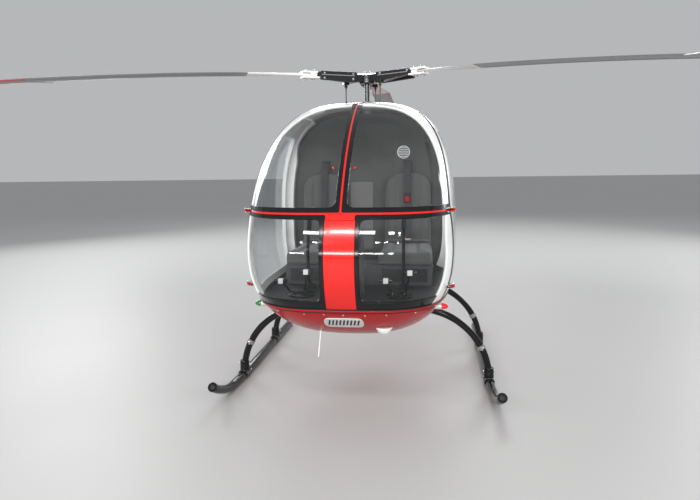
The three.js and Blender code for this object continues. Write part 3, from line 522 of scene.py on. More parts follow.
# Nose strip. A bright red gloss panel between the lower windows, with the thin red line
# that runs out of its top along the band and up the upright, laid in the black trim.

bright_paint = finish("bright_red_paint", "bright_red_paint", (0.6, 0.01, 0.007), 0.16, coat=0.45,
                      coat_roughness=0.03, mottle=0.05, grain=0.05, grain_scale=160,
                      grain_depth=0.0002, specular=0.35)
strip_corners = [(strip_half, strip_foot), (strip_half, strip_top), (-strip_half, strip_top),
                 (-strip_half, strip_foot)]
panel("nose_strip_panel", [front_loop(strip_corners, 70)], (0.0, skin_thickness), bright_paint,
      ["nose_strip"])
line_low, line_high, line_half, flare, inlay_top = 1.339, 1.35, 0.0058, 0.012, 2.034
inlay_foot = strip_half - 0.004
inlay_left = [front_run((0.0005, inlay_top), (line_half, inlay_top), 4),
    front_run((line_half, inlay_top), (line_half, line_high + flare), 90),
    front_corner(line_half, line_high, flare, flare, 0.003)[::-1],
    level_line(line_high, float(door_edge(line_high)) - 0.002, line_half + flare)[::-1],
    level_line(line_low, float(door_edge(line_low)) - 0.002, inlay_foot + flare),
    front_corner(inlay_foot, line_low, flare, -flare, 0.003),
    front_run((inlay_foot, line_low - flare), (inlay_foot, strip_top), 8),
    front_run((inlay_foot, strip_top), (0.0005, strip_top), 12)]
panel("red_inlay_line", [both_sides(inlay_left)], (-0.0026, 0.0004), bright_paint, edge=0.0008, step=0.01)
cap_low, cap_high, cap_half = upright_top - 0.03, 2.036, upright_half + 0.002
cap_corners = [(cap_half, cap_low), (cap_half, cap_high), (line_half + 0.001, cap_high),
               (line_half + 0.001, cap_low)]
for side, name in left_right:
    panel(f"upright_head_{name}", [front_loop(cap_corners, 24) * (side, 1)], (-0.0022, 0.0004),
          trim_black, edge=0.0008, step=0.01)

# Band ends. Short black trim pieces that carry the band across the white front posts.

for side, name in left_right:
    outline = chart_loop(edge_part(glass_edge, band_low, band_high, 0.0005),
                         edge_part(door_edge, band_low, band_high, -0.002)[::-1])
    panel(f"band_end_{name}", [outline * (side, 1)], (-0.0018, 0.001), trim_black, edge=0.0008)

# Front windows. Four clear acrylic panes, 5 mm thick, bonded in behind the black trim.


def clear_acrylic(name, tint, mirror_tint=0.9):
    """Clear pane: light passes with a tint, and both faces mirror more at a glance."""
    material = bpy.data.materials.new(name)
    material.use_nodes = True
    slot_names[material.name] = "clear_glazing"
    tree = material.node_tree
    tree.nodes.remove(tree.nodes["Principled BSDF"])
    through = node(tree, "ShaderNodeBsdfTransparent", {"Color": (*tint, 1)})
    wavy = relief(tree, object_noise(tree, 5.0, 1.0), 0.05, 0.002)
    mirror = node(tree, "ShaderNodeBsdfGlossy", {"Color": (mirror_tint,) * 3 + (1,), "Normal": wavy,
                                                 "Roughness": 0.012})
    facing = node(tree, "ShaderNodeLayerWeight", {"Normal": wavy, "Blend": 0.5})
    steep = node(tree, "ShaderNodeMath", {0: facing.outputs["Facing"], 1: 5.0}, operation="POWER")
    share = node(tree, "ShaderNodeMapRange", {"Value": steep.outputs[0], "To Min": 0.022, "To Max": 0.6})
    mix = node(tree, "ShaderNodeMixShader", {0: share.outputs["Result"], 1: through.outputs[0],
                                             2: mirror.outputs[0]})
    tree.links.new(mix.outputs[0], tree.nodes["Material Output"].inputs["Surface"])
    return material


acrylic = clear_acrylic("clear_acrylic", (0.93, 0.94, 0.945))
pane_depths, pane_gap = (0.004, 0.009), 0.0004
for side, name in left_right:
    swept = swept_line(glass_edge, -pane_gap, band_high + pane_gap, upright_half + pane_gap)
    outline = chart_loop(*upper_corner(pane_gap), swept[::-1])
    panel(f"windscreen_pane_{name}", [outline * (side, 1)], pane_depths, acrylic,
          [f"windscreen_{name}"], step=0.02)
    rear = edge_part(glass_edge, sill_z + pane_gap, band_low - pane_gap, -pane_gap)
    outline = chart_loop(*lower_corners(pane_gap), rear[::-1])
    panel(f"chin_pane_{name}", [outline * (side, 1)], pane_depths, acrylic,
          [f"chin_window_{name}"], step=0.02)

# Roof and hoop. One white gelcoat moulding: the roof, the posts ahead of the doors and
# the deep hoop behind them.

gelcoat = finish("white_gelcoat", "white_paint", (0.84, 0.83, 0.81), 0.22, coat=0.4, mottle=0.02, dust=0.02,
                 grain=0.06, grain_scale=200, grain_depth=0.0002)
hinge_x, hinge_y, hinge_zs = 0.632, mast_y - 1.2, (1.345, 0.89)
door_top_x = 0.42


def door_sides(reach, shift, top_x, low_z):
    """Round the left door opening: up its front edge, back along the roof, and down
    the rear edge, an arc about the hinge."""
    front = swept_line(door_edge, shift, low_z, top_x)
    back_y = hinge_y + math.sqrt(reach ** 2 - (top_x - hinge_x) ** 2)
    along = np.linspace(front[-1, 1], back_y, 90)
    top = np.c_[np.full(90, top_x), along, skin_top(top_x, along)]
    z = np.linspace(top[-1, 2], low_z, 120)
    width = skin_section(z)[0]
    rear = np.c_[width, hinge_y + np.sqrt(reach ** 2 - (width - hinge_x) ** 2), z]
    rear[0, 0] = top_x
    return [front, even(top), even(rear)]


glass_line = swept_line(glass_edge, fit_gap, seam_z, 0.0)
opening = door_sides(1.07, 0.0, door_top_x - 0.005, seam_z)
hoop_foot = even(np.array([opening[2][-1], (opening[2][-1][0], cabin_rear_y, seam_z)]))
foot = even(side_line(np.c_[np.linspace(float(glass_edge(seam_z)), float(door_edge(seam_z)), 20),
                            np.full(20, seam_z)]))
roof_lines = [glass_line[::-1], foot, *opening, hoop_foot]
roof_outline = both_sides(roof_lines, [rear_edge(seam_z, over=True)[::-1]])
panel("roof_moulding", [roof_outline], (0.0, skin_thickness), gelcoat, ["roof_and_hoop"], edge=0.003)


def hoop_depth(places):
    """The hoop is deep beside the seats and thins towards the roof."""
    share = np.clip((places[:, 2:] - 1.62) / 0.2, 0, 1)
    return 0.082 - 0.04 * share ** 2 * (3 - 2 * share)


for side, name in left_right:
    arc = door_sides(1.071, 0.0, door_top_x - 0.005, seam_z)[2]
    core = chart_loop(arc, hoop_foot, side_line(np.c_[np.full(80, cabin_rear_y), np.linspace(
        seam_z, arc[0][2], 80)]))
    panel(f"door_hoop_{name}", [core * (side, 1)], (0.012, hoop_depth), gelcoat, edge=0.004)

# Doors. A white moulded frame round a wide acrylic pane, hung on the front post.

door_window = rounded_line([(mast_y - 1.148, 0.85, 0.06), (mast_y - 0.182, 0.85, 0.09),
                            (mast_y - 0.182, 1.825, 0.12), (mast_y - 0.705, 1.825, 0.05),
                            (mast_y - 1.06, 1.48, 0.1), (mast_y - 1.148, 1.34, 0.06)],
                           closed=True, step=0.008)
window_loop = to_chart(side_line(door_window))
pane_share, window_middle = 1 - 0.0006, door_window.mean(0)
pane_loop = to_chart(side_line((door_window - window_middle) * pane_share + window_middle))
frame_lines = door_sides(1.065, 0.005, door_top_x, seam_z + 0.005)
door_foot = even(side_line(np.c_[np.linspace(frame_lines[2][-1][1], frame_lines[0][0][1], 90),
                                 np.full(90, seam_z + 0.005)]))
door_outline = chart_loop(*frame_lines, door_foot)
for side, name in left_right:
    panel(f"door_frame_moulding_{name}", [door_outline * (side, 1), window_loop * (side, 1)],
          (0.0, 0.03), gelcoat, [f"door_frame_{name}"], edge=0.004, body=f"door_{name}")
    panel(f"door_pane_{name}", [pane_loop * (side, 1)], pane_depths, acrylic, [f"door_window_{name}"],
          step=0.025, body=f"door_{name}")

# Door seals and hinges. Black rubber seals round each opening, a wide black strip down each
# door's front edge that is painted shade, standing in for the shadowed seal line there, and two
# cast hinges a side, each a door lug between two post lugs on a red pin.


def strip_beside(line, width, shift=0.0):
    """A closed chart outline of a strip along a line of the skin, to its left."""
    flat = to_chart(line) if line.shape[1] == 3 else line
    along = np.gradient(flat, axis=0)
    along /= np.linalg.norm(along, axis=1)[:, None]
    aside = np.stack([-along[:, 1], along[:, 0]], 1)
    return np.concatenate([flat + aside * shift, (flat + aside * (shift + width))[::-1]])


def lofted(rings, ends=True):
    """The skin over rings of equally many points, as points and faces."""
    n, verts = len(rings[0]), np.concatenate(rings)
    faces = [(k * n + i, k * n + (i + 1) % n, (k + 1) * n + (i + 1) % n, (k + 1) * n + i)
             for k in range(len(rings) - 1) for i in range(n)]
    if ends:
        faces += [tuple(range(n))[::-1], tuple(range(len(verts) - n, len(verts)))]
    return verts, faces


def swept(path, radius, sides=16):
    """A round bar along a path; its radius may change on the way."""
    path = np.asarray(path, float)
    radius = np.broadcast_to(np.asarray(radius, float), (len(path),))
    along = np.gradient(path, axis=0)
    along /= np.linalg.norm(along, axis=1)[:, None]
    across = np.cross(along[0], (0, 0, 1) if abs(along[0][2]) < 0.9 else (1, 0, 0))
    turn = np.linspace(0, 2 * np.pi, sides, endpoint=False)[:, None]
    rings = []
    for point, way, r in zip(path, along, radius):
        across = across - way * across.dot(way)
        across = across / np.linalg.norm(across)
        rings.append(point + r * (np.cos(turn) * across + np.sin(turn) * np.cross(way, across)))
    return lofted(rings)


def turned(profile, foot, way=(0, 0, 1), sides=32):
    """A shape turned about an axis, from (height along it, radius) points."""
    way = np.asarray(way, float) / np.linalg.norm(way)
    across = np.cross(way, (1, 0, 0) if abs(way[0]) < 0.9 else (0, 1, 0))
    across /= np.linalg.norm(across)
    turn = np.linspace(0, 2 * np.pi, sides, endpoint=False)[:, None]
    circle = np.cos(turn) * across + np.sin(turn) * np.cross(way, across)
    return lofted([np.asarray(foot) + way * along + circle * max(radius, 2e-4)
                   for along, radius in profile])


def extruded(outline, axis, low, high):
    """A flat outline carried along axis 0, 1 or 2 between two places on it."""
    return lofted([np.insert(np.asarray(outline, float), axis, at, axis=1) for at in (low, high)])


def block(low, high):
    (x, y, z), (u, v, w) = low, high
    return extruded([(x, y), (u, y), (u, v), (x, v)], 2, z, w)


def solid_mesh(name, parts, smooth_to=35):
    """One mesh from several closed parts, normals outwards, sharp past an angle."""
    bm = bmesh.new()
    for verts, faces in parts:
        corners = [bm.verts.new(v) for v in verts]
        for face in faces:
            bm.faces.new([corners[i] for i in face])
    bmesh.ops.recalc_face_normals(bm, faces=bm.faces)
    mesh = bpy.data.meshes.new(name)
    bm.to_mesh(mesh)
    bm.free()
    mesh.polygons.foreach_set("use_smooth", [True] * len(mesh.polygons))
    mesh.set_sharp_from_angle(angle=math.radians(smooth_to))
    return mesh


def made(name, parts, material, replaces=(), bevel=0.0, smooth_to=35, **rides):
    """One piece from several closed parts, its edges softened."""
    obj = bpy.data.objects.new(name, solid_mesh(name, parts, smooth_to))
    if bevel:
        soft = obj.modifiers.new("soft_edges", "BEVEL")
        soft.width, soft.segments, soft.limit_method = bevel, 2, "ANGLE"
        soft.angle_limit, soft.harden_normals = math.radians(32), True
    dressed(obj, material, replaces, **rides)


cast_alloy = finish("cast_alloy", "cast_metal", (0.42, 0.42, 0.43), 0.38, metallic=0.9, mottle=0.1,
                    dust=0.12, grain=0.25, grain_scale=420, grain_depth=0.0005)
bright_steel = finish("bright_steel", "bright_metal", (0.68, 0.68, 0.69), 0.22, metallic=1.0, mottle=0.06,
                      grain=0.08, grain_scale=900)
post_web = [(4, -8), (4, 4), (-48, 4), (-48, -42), (-30, -42)]
door_web = [(-9, -2), (9, -2), (9, 20), (-12, 40), (-52, 40), (-52, 30), (-25, 14)]
for side, name in left_right:
    seal = strip_beside(np.concatenate([opening[0], opening[1][1:], opening[2][1:]]), 0.005, -0.0003)
    panel(f"door_seal_{name}", [seal * (side, 1)], (-0.002, 0.002), rubber, edge=0.001)
    # A 14 mm black strip along the door's front edge: painted shade for the shadowed seal line beside the
    # white post.
    shade_strip = strip_beside(frame_lines[0], -0.014, -0.0004)
    panel(f"door_edge_trim_{name}", [shade_strip * (side, 1)], (-0.0016, 0.002), rubber, edge=0.001,
          body=f"door_{name}")
    webs = {"post": [], "door": []}
    for z in hinge_zs:
        for owner, web, spans in (("post", post_web, ((-0.0125, -0.0082), (0.0082, 0.0125))),
                                  ("door", door_web, ((-0.0077, 0.0077),))):
            for low, high in spans:
                webs[owner].append(extruded([(side * (hinge_x + x / 1000), hinge_y + y / 1000)
                                             for x, y in web], 2, z + low, z + high))
                webs[owner].append(turned([(low, 0.008), (high, 0.008)], (side * hinge_x, hinge_y, z)))
    pins = [turned([(-0.0165, 0.003), (-0.016, 0.0055), (-0.0135, 0.006), (-0.013, 0.0042),
                    (0.013, 0.0042), (0.0135, 0.006), (0.016, 0.0055), (0.0165, 0.003)],
                   (side * hinge_x, hinge_y, z), sides=20) for z in hinge_zs]
    made(f"hinge_post_lugs_{name}", webs["post"], bright_steel, bevel=0.0012)
    made(f"hinge_door_lugs_{name}", webs["door"], bright_paint, bevel=0.0015, body=f"door_{name}")
    made(f"hinge_pins_{name}", pins, bright_steel)

# Small hardware. Button-head screws, rivets, hexagon bolts and pressed louvres, each
# shaped once and set on points of a surface by one Geometry Nodes tree.


def scatter_tree():
    """Puts a shape on each point of a mesh, its z along the point's way and its x as
    near as may be to the point's along."""
    tree = bpy.data.node_groups.new("set_on_points", "GeometryNodeTree")
    for name, kind in (("Points", "NodeSocketGeometry"), ("Shape", "NodeSocketObject"),
                       ("Size", "NodeSocketFloat"), ("Finish", "NodeSocketMaterial")):
        tree.interface.new_socket(name, in_out="INPUT", socket_type=kind)
    tree.interface.new_socket("Hardware", in_out="OUTPUT", socket_type="NodeSocketGeometry")
    given, result = node(tree, "NodeGroupInput").outputs, node(tree, "NodeGroupOutput")
    shape = node(tree, "GeometryNodeObjectInfo", {"Object": given["Shape"]})
    turn = {}
    for attribute, axis, pivot in (("way", "Z", "AUTO"), ("along", "X", "Z")):
        named = node(tree, "GeometryNodeInputNamedAttribute", {"Name": attribute}, data_type="FLOAT_VECTOR")
        align = node(tree, "FunctionNodeAlignRotationToVector",
                     {"Vector": named.outputs["Attribute"], **turn}, axis=axis, pivot_axis=pivot)
        turn = {"Rotation": align.outputs[0]}
    points = node(tree, "GeometryNodeMeshToPoints", {"Mesh": given["Points"]})
    setting = node(tree, "GeometryNodeInstanceOnPoints",
                   {"Points": points.outputs["Points"], "Instance": shape.outputs["Geometry"],
                    "Scale": given["Size"], **turn})
    real = node(tree, "GeometryNodeRealizeInstances", {"Geometry": setting.outputs["Instances"]})
    coat = node(tree, "GeometryNodeSetMaterial",
                {"Geometry": real.outputs["Geometry"], "Material": given["Finish"]})
    tree.links.new(coat.outputs["Geometry"], result.inputs["Hardware"])
    return tree


def shape_of(name, parts, smooth_to=35):
    """A shape to set on points: a mesh object that isn't in the scene."""
    return bpy.data.objects.new(name, solid_mesh(name, parts, smooth_to))


hardware_tree = scatter_tree()
screw_shape = shape_of("screw_shape", [turned(
    [(-0.0005, 0.004), (0.0006, 0.004), (0.0019, 0.0031), (0.0024, 0.0019), (0.0012, 0.0017),
     (0.0012, 0.0002)], (0, 0, 0), sides=12)])
rivet_shape = shape_of("rivet_shape", [turned(
    [(-0.0003, 0.0026), (0.0004, 0.0024), (0.0011, 0.0015), (0.0013, 0.0002)], (0, 0, 0), sides=6)])
bolt_shape = shape_of("bolt_shape", [turned([(-0.0005, 0.0085), (0.0014, 0.0085)], (0, 0, 0), sides=16),
    turned([(0.0014, 0.007), (0.007, 0.007), (0.0078, 0.006)], (0, 0, 0), sides=6),
    turned([(0.006, 0.0038), (0.0115, 0.0038), (0.0125, 0.0028)], (0, 0, 0), sides=10)])
louvre_length, louvre_height, louvre_rise = 0.095, 0.02, 0.012
louvre_shape = shape_of("louvre_shape", [lofted([np.array(
    [(x, louvre_height / 2, -0.002), (x, louvre_height / 2, 0.001 + louvre_rise * bulge),
     (x, louvre_height * 0.1, 0.0005 + louvre_rise * bulge * 0.85),
     (x, -louvre_height / 2, 0.0005), (x, -louvre_height / 2, -0.002)])
    for x, bulge in ((louvre_length * (share - 0.5), math.sin(math.pi * share) ** 0.45)
                     for share in np.linspace(0.0, 1.0, 13))])], smooth_to=50)
# Black pieces that fill each louvre's open mouth: painted shade for the dark inside of the cowl.
mouth_turns = np.linspace(0.0, math.pi, 13)
mouth_shade_shape = shape_of("louvre_mouth_shape", [extruded(
    [(-0.47 * louvre_length * math.cos(t), 0.0012 + 0.82 * louvre_rise * math.sin(t) ** 0.5)
     for t in mouth_turns], 1, louvre_height * 0.44, louvre_height / 2 + 0.0007)])


def as_mesh(obj):
    """A plain mesh of an object, its modifiers applied."""
    return bpy.data.meshes.new_from_object(obj.evaluated_get(bpy.context.evaluated_depsgraph_get()))


def hardware(name, shape, places, ways, material, size=1.0, along=(0, 0, 1), **rides):
    """Like fittings on a body: one shape at each place, facing its way."""
    places = np.asarray(places, float)
    points = bpy.data.meshes.new(name + "_points")
    points.from_pydata([tuple(p) for p in places], [], [])
    for attribute, values in (("way", ways), ("along", along)):
        layer = points.attributes.new(attribute, "FLOAT_VECTOR", "POINT")
        layer.data.foreach_set("vector", np.ascontiguousarray(
            np.broadcast_to(np.asarray(values, float), places.shape)).ravel())
    carrier = bpy.data.objects.new(name + "_points", points)
    bpy.context.collection.objects.link(carrier)
    modifier = carrier.modifiers.new("set_on_points", "NODES")
    modifier.node_group = hardware_tree
    sockets = {item.name: item.identifier for item in hardware_tree.interface.items_tree}
    modifier[sockets["Shape"]] = shape
    modifier[sockets["Size"]] = size
    modifier[sockets["Finish"]] = material
    mesh = as_mesh(carrier)
    mesh.name = name
    bpy.data.objects.remove(carrier)
    dressed(bpy.data.objects.new(name, mesh), material, **rides)


def on_skin(line_or_points, depth=0.0):
    """Places and outward ways at points of the cabin skin."""
    chart = to_chart(np.asarray(line_or_points, float))
    facing = skin_normals(chart)
    return skin_points(chart) - facing * depth, facing


screw_xs = np.array((-0.397, -0.224, -0.108, 0.005, 0.129, 0.25, 0.412, 0.529))
screw_z = 0.765
places, ways = on_skin(front_line(np.c_[screw_xs, np.full(len(screw_xs), screw_z)]), -0.0002)
hardware("belly_lip_screws", screw_shape, places, ways, bright_steel, size=1.5)

# Engine cowls. Two red moulded halves behind the cabin that meet on the middle line and
# close round the tail boom, with pressed louvres whose open mouths are filled in black as
# painted shade, quarter-turn screws and a fuel cap.

boom_front, boom_front_z, boom_front_radius = mast_y + 1.27, 1.47, 0.118
boom_rear, boom_rear_z, boom_rear_radius = mast_y + 3.93, 1.54, 0.066
cowl_end, cowl_front, cowl_rear = 0.1277, -0.0647, 1.4
# Columns: station from the mast, top, widest and bottom z, half width, powers above, below.
cowl_stations = [
    (cowl_front, 2.041, 1.111, 0.485, 0.664, 3.1, 2.48), (0.15, 2.018, 1.115, 0.486, 0.65, 2.9, 2.4),
    (0.44, 1.945, 1.13, 0.5, 0.585, 2.6, 2.3), (0.7, 1.845, 1.19, 0.6, 0.47, 2.4, 2.2),
    (0.9, 1.77, 1.28, 0.79, 0.365, 2.3, 2.1), (1.1, 1.7, 1.38, 1.03, 0.262, 2.2, 2.0),
    (1.32, boom_front_z + cowl_end, boom_front_z, boom_front_z - cowl_end, cowl_end, 2, 2),
    (cowl_rear, boom_front_z + cowl_end, boom_front_z, boom_front_z - cowl_end, cowl_end, 2, 2)]


def through(stations, at):
    """A smooth curve through stations; their first column is the place along it."""
    stations = np.asarray(stations, float)
    at = np.atleast_1d(np.asarray(at, float))
    x, y = stations[:, 0], stations[:, 1:]
    slope = np.gradient(y, x, axis=0)
    level = np.diff(y, axis=0) == 0
    slope[:-1][level] = 0
    slope[1:][level] = 0
    i = np.clip(np.searchsorted(x, at) - 1, 0, len(x) - 2)
    step = (x[i + 1] - x[i])[:, None]
    t = (at - x[i])[:, None] / step
    return ((2 * t ** 3 - 3 * t ** 2 + 1) * y[i] + (t ** 3 - 2 * t ** 2 + t) * step * slope[i]
            + (3 * t ** 2 - 2 * t ** 3) * y[i + 1] + (t ** 3 - t ** 2) * step * slope[i + 1])


def cowl_points(stations, turns, inset=0.0):
    """Points of the cowl at stations behind the mast and turns from the left side up."""
    top, widest, bottom, half, above, below = through(cowl_stations, stations).T
    c, s = np.cos(turns), np.sin(turns)
    power = np.where(s > 0, above, below)
    height = np.where(s > 0, top - widest, widest - bottom) - inset
    x = (half - inset) * np.sign(c) * np.abs(c) ** (2 / power)
    z = widest + height * np.sign(s) * np.abs(s) ** (2 / power)
    return np.stack([x, mast_y + np.asarray(stations, float) + 0 * x, z], 1)


def on_cowl(stations, turns, lift=0.0):
    stations, turns = (np.array(v, float) for v in np.broadcast_arrays(stations, turns))
    here, step = cowl_points(stations, turns), 1e-3
    along = cowl_points(stations + step, turns) - here
    around = cowl_points(stations, turns + step) - here
    facing = np.cross(around, along)
    facing /= np.linalg.norm(facing, axis=1)[:, None]
    outward = here - np.c_[0 * stations, here[:, 1], through(cowl_stations, stations)[:, 1]]
    facing *= np.sign((facing * outward).sum(1))[:, None]
    along /= np.linalg.norm(along, axis=1)[:, None]
    return here + facing * lift, facing, along


cowl_wall, rows, columns = 0.004, 90, 80
for side, name in left_right:
    along = np.linspace(cowl_front, cowl_rear, rows)
    around = np.linspace(-math.pi / 2 + 1e-4, math.pi / 2 - 1e-4, columns)
    grids = []
    for inset in (0.0, cowl_wall):
        sheet = np.concatenate([cowl_points(np.full(columns, s), around, inset) for s in along])
        sheet[:, 0] = np.maximum(sheet[:, 0], 0.0006)
        grids.append(sheet * (side, 1, 1))
    verts = np.concatenate(grids)
    outer = [(r * columns + c, r * columns + c + 1, (r + 1) * columns + c + 1, (r + 1) * columns + c)
             for r in range(rows - 1) for c in range(columns - 1)]
    shift = rows * columns
    faces = outer + [tuple(i + shift for i in face[::-1]) for face in outer]
    rim = ([r * columns for r in range(rows)] + [(rows - 1) * columns + c for c in range(1, columns)]
           + [r * columns + columns - 1 for r in range(rows - 2, -1, -1)]
           + [c for c in range(columns - 2, 0, -1)])
    faces += [(a, b, b + shift, a + shift) for a, b in zip(rim, rim[1:] + rim[:1])]
    made(f"cowl_shell_{name}", [(verts, faces)], belly_paint, [f"cowl_{name}"], smooth_to=45)
    louvre_rows, louvre_columns = 7, 2
    stations = np.tile(np.array((0.3, 0.43)), louvre_rows)
    heights = np.repeat(np.radians(np.linspace(-2, 26, louvre_rows)), louvre_columns)
    places, ways, runs = on_cowl(stations, heights, 0.0005)
    flip = (side, 1, 1)
    hardware(f"cowl_louvres_{name}", louvre_shape, places * flip, ways * flip, belly_paint,
             along=runs * flip)
    # The louvre mouths in black: painted shade.
    hardware(f"cowl_louvre_mouths_{name}", mouth_shade_shape, places * flip, ways * flip, rubber,
             along=runs * flip, slot="black_paint")
    stations = np.concatenate([np.full(11, -0.045), np.linspace(0.05, 1.3, 10),
                               np.linspace(0.05, 1.3, 10), np.full(5, 1.385)])
    turns = np.concatenate([np.radians(np.linspace(-76, 76, 11)), np.full(10, math.pi / 2 - 0.045),
                            np.full(10, -math.pi / 2 + 0.045), np.radians(np.linspace(-70, 70, 5))])
    places, ways, runs = on_cowl(stations, turns, 0.0003)
    hardware(f"cowl_screws_{name}", screw_shape, places * flip, ways * flip, bright_steel, size=1.5)
seam_path = cowl_points(np.full(160, cowl_front), np.linspace(0, 2 * math.pi, 160))
made("cowl_front_seal", [swept(seam_path * (1.0006, 1, 1), 0.0028, sides=8)], rubber)
for turn, name in ((math.pi / 2, "top"), (-math.pi / 2, "bottom")):
    line = cowl_points(np.linspace(0.07 if turn > 0 else -0.06, 1.398, 80), np.full(80, turn))
    made(f"cowl_middle_seal_{name}", [swept(line - (0, 0, 0.0006 * np.sign(turn)), 0.0022, sides=6)],
         rubber)
cap_place, cap_way, _ = on_cowl([0.22], [math.radians(52)])
made("fuel_cap", [turned([(-0.004, 0.046), (0.003, 0.046), (0.0055, 0.043), (0.006, 0.036),
                          (0.011, 0.034), (0.0135, 0.03), (0.014, 0.0)],
                         cap_place[0], cap_way[0], sides=40)], cast_alloy, smooth_to=30)
made("fuel_cap_latch", [turned([(0, 0.0045), (0.052, 0.0045), (0.054, 0.003)],
                               cap_place[0] + cap_way[0] * 0.0155 - (0, 0.026, 0), (0, 1, 0),
                               sides=12)], bright_steel)
collar_foot = float(through(cowl_stations, [0.0])[0][0])
made("mast_collar", [turned([(-0.014, 0.06), (0.004, 0.058), (0.01, 0.052), (0.03, 0.047),
                             (0.034, 0.0435), (0.03, 0.0425), (-0.012, 0.0425)],
                            (0, mast_y, collar_foot), sides=48)], rubber)

# Tail boom. A tapered aluminium tube painted white, with riveted joint bands along it
# and three rows of rivets between them.


def boom_at(y):
    share = (y - boom_front) / (boom_rear - boom_front)
    return (boom_front_z + share * (boom_rear_z - boom_front_z),
            boom_front_radius + share * (boom_rear_radius - boom_front_radius))


boom_way = np.array((0, boom_rear - boom_front, boom_rear_z - boom_front_z))
boom_way /= np.linalg.norm(boom_way)
boom_white = finish("boom_white_paint", "white_paint", (0.72, 0.71, 0.69), 0.3, coat=0.3, mottle=0.04,
                    mottle_scale=3, dust=0.1, grain=0.06, grain_scale=150)
boom_ys = np.linspace(boom_front - 0.12, boom_rear, 60)
boom_path, boom_radii = [(0, y, boom_at(y)[0]) for y in boom_ys], [boom_at(y)[1] for y in boom_ys]
made("boom_tube", [swept(boom_path, boom_radii, sides=64)], boom_white, ["tail_boom"], smooth_to=50)
band_ys, band_width = np.linspace(boom_front + 0.3, boom_rear - 0.1, 5), 0.05
bands, rivet_places, rivet_ways = [], [], []


def rivet(y, turn, lift):
    way = np.array((math.cos(turn), 0, math.sin(turn)))
    rivet_places.append((0, y, boom_at(y)[0]) + way * lift)
    rivet_ways.append(way)


for y in band_ys:
    z, radius = boom_at(y)
    bands.append(turned([(-band_width / 2, radius), (-band_width / 2, radius + 0.0016),
                         (band_width / 2, radius + 0.0012), (band_width / 2, radius)],
                        (0, y, z), boom_way, sides=64))
    for row in (-0.016, 0.016):
        for turn in np.linspace(0, 2 * math.pi, 28, endpoint=False):
            rivet(y + row, turn, radius + 0.0012)
made("boom_joint_bands", bands, boom_white, smooth_to=30)
for turn in np.radians((-90, 0, 180)):
    for y in np.arange(boom_front + 0.06, boom_rear - 0.08, 0.045):
        rivet(y, turn, boom_at(y)[1])
hardware("boom_rivets", rivet_shape, rivet_places, rivet_ways, boom_white)

# Tail surfaces. Two vertical fins and a stabiliser, foam cores in red moulded skins, with
# white caps on their outer edges and cast root brackets on the boom.


def wing_section(chord, thickness, points=14):
    """A symmetrical wing section: (distance behind its nose, half thickness) points."""
    u = (1 - np.cos(np.linspace(0, 1, points) * np.pi)) / 2
    t = 5 * thickness * (0.2969 * np.sqrt(u) - 0.126 * u - 0.3516 * u ** 2
                         + 0.2843 * u ** 3 - 0.1036 * u ** 4)
    return np.concatenate([np.c_[u * chord, t], np.c_[u * chord, -t][-2:0:-1]])


def surface(stations, place, count=12):
    """A tapered wing from (along, shift, chord, thickness) stations and the way each
    section's points go in space."""
    at = np.linspace(stations[0][0], stations[-1][0], count)
    values = np.stack([np.interp(at, [s[0] for s in stations], [s[k] for s in stations])
                       for k in (1, 2, 3)], 1)
    return lofted([place(a, wing_section(c, t) + (shift, 0)) for a, (shift, c, t) in zip(at, values)])


def upright_section(z, section):
    """A section's points in place, of an upright wing behind the mast."""
    return np.c_[section[:, 1], mast_y + section[:, 0], np.full(len(section), z)]


def level_section(sign):
    """The same for a level wing on one side of the boom."""
    def place(x, section):
        return np.c_[np.full(len(section), sign * x), mast_y + section[:, 0],
                     boom_at(mast_y + 2.7)[0] + section[:, 1]]
    return place


fin_high = [(1.597, 3.56 + 0.24 * 0.057 / 0.65, 0.366, 0.033), (2.19, 3.8, 0.22, 0.022)]
fin_low = [(0.9, 3.76, 0.19, 0.02), (1.4775, 3.5795, 0.3615, 0.0326)]
made("fin_upper_skin", [surface(fin_high, upright_section)], belly_paint, ["upper_fin"], smooth_to=50)
made("fin_lower_skin", [surface(fin_low, upright_section)], belly_paint, ["lower_fin"], smooth_to=50)
cap_high = [(2.172, 3.7926, 0.2246, 0.0232), (2.19, 3.7995, 0.2212, 0.0228), (2.1935, 3.806, 0.208, 0.016)]
cap_low = [(0.8965, 3.766, 0.178, 0.014), (0.9, 3.7595, 0.1914, 0.0208), (0.918, 3.754, 0.1964, 0.0212)]
made("fin_edge_caps", [surface(cap_high, upright_section, 7), surface(cap_low, upright_section, 7)],
     gelcoat, smooth_to=50)
for side, name in left_right:
    inner = boom_at(mast_y + 2.8)[1] - 0.008
    wing = [(inner, 2.7, 0.2445, 0.0252), (0.56, 2.7, 0.21, 0.02)]
    made(f"stabiliser_skin_{name}", [surface(wing, level_section(side))], belly_paint,
         [f"stabiliser_{name}"], smooth_to=50)
    tip = [(0.545, 2.6995, 0.2125, 0.021), (0.56, 2.6995, 0.2115, 0.0208), (0.563, 2.706, 0.196, 0.0145)]
    made(f"stabiliser_tip_{name}", [surface(tip, level_section(side), 7)], gelcoat, smooth_to=50)
    root_z, half = boom_at(mast_y + 2.8)[0], 0.0165
    bracket = block((side * (inner - 0.004), mast_y + 2.72, root_z - half),
                    (side * (inner + 0.014), mast_y + 2.91, root_z + half))
    made(f"stabiliser_root_{name}", [bracket], cast_alloy, bevel=0.003)

# Tail gearbox and guard. A cast case on the boom's end with a flange of bolts, and a
# bent black tube under the lower fin that keeps the tail rotor off the ground.

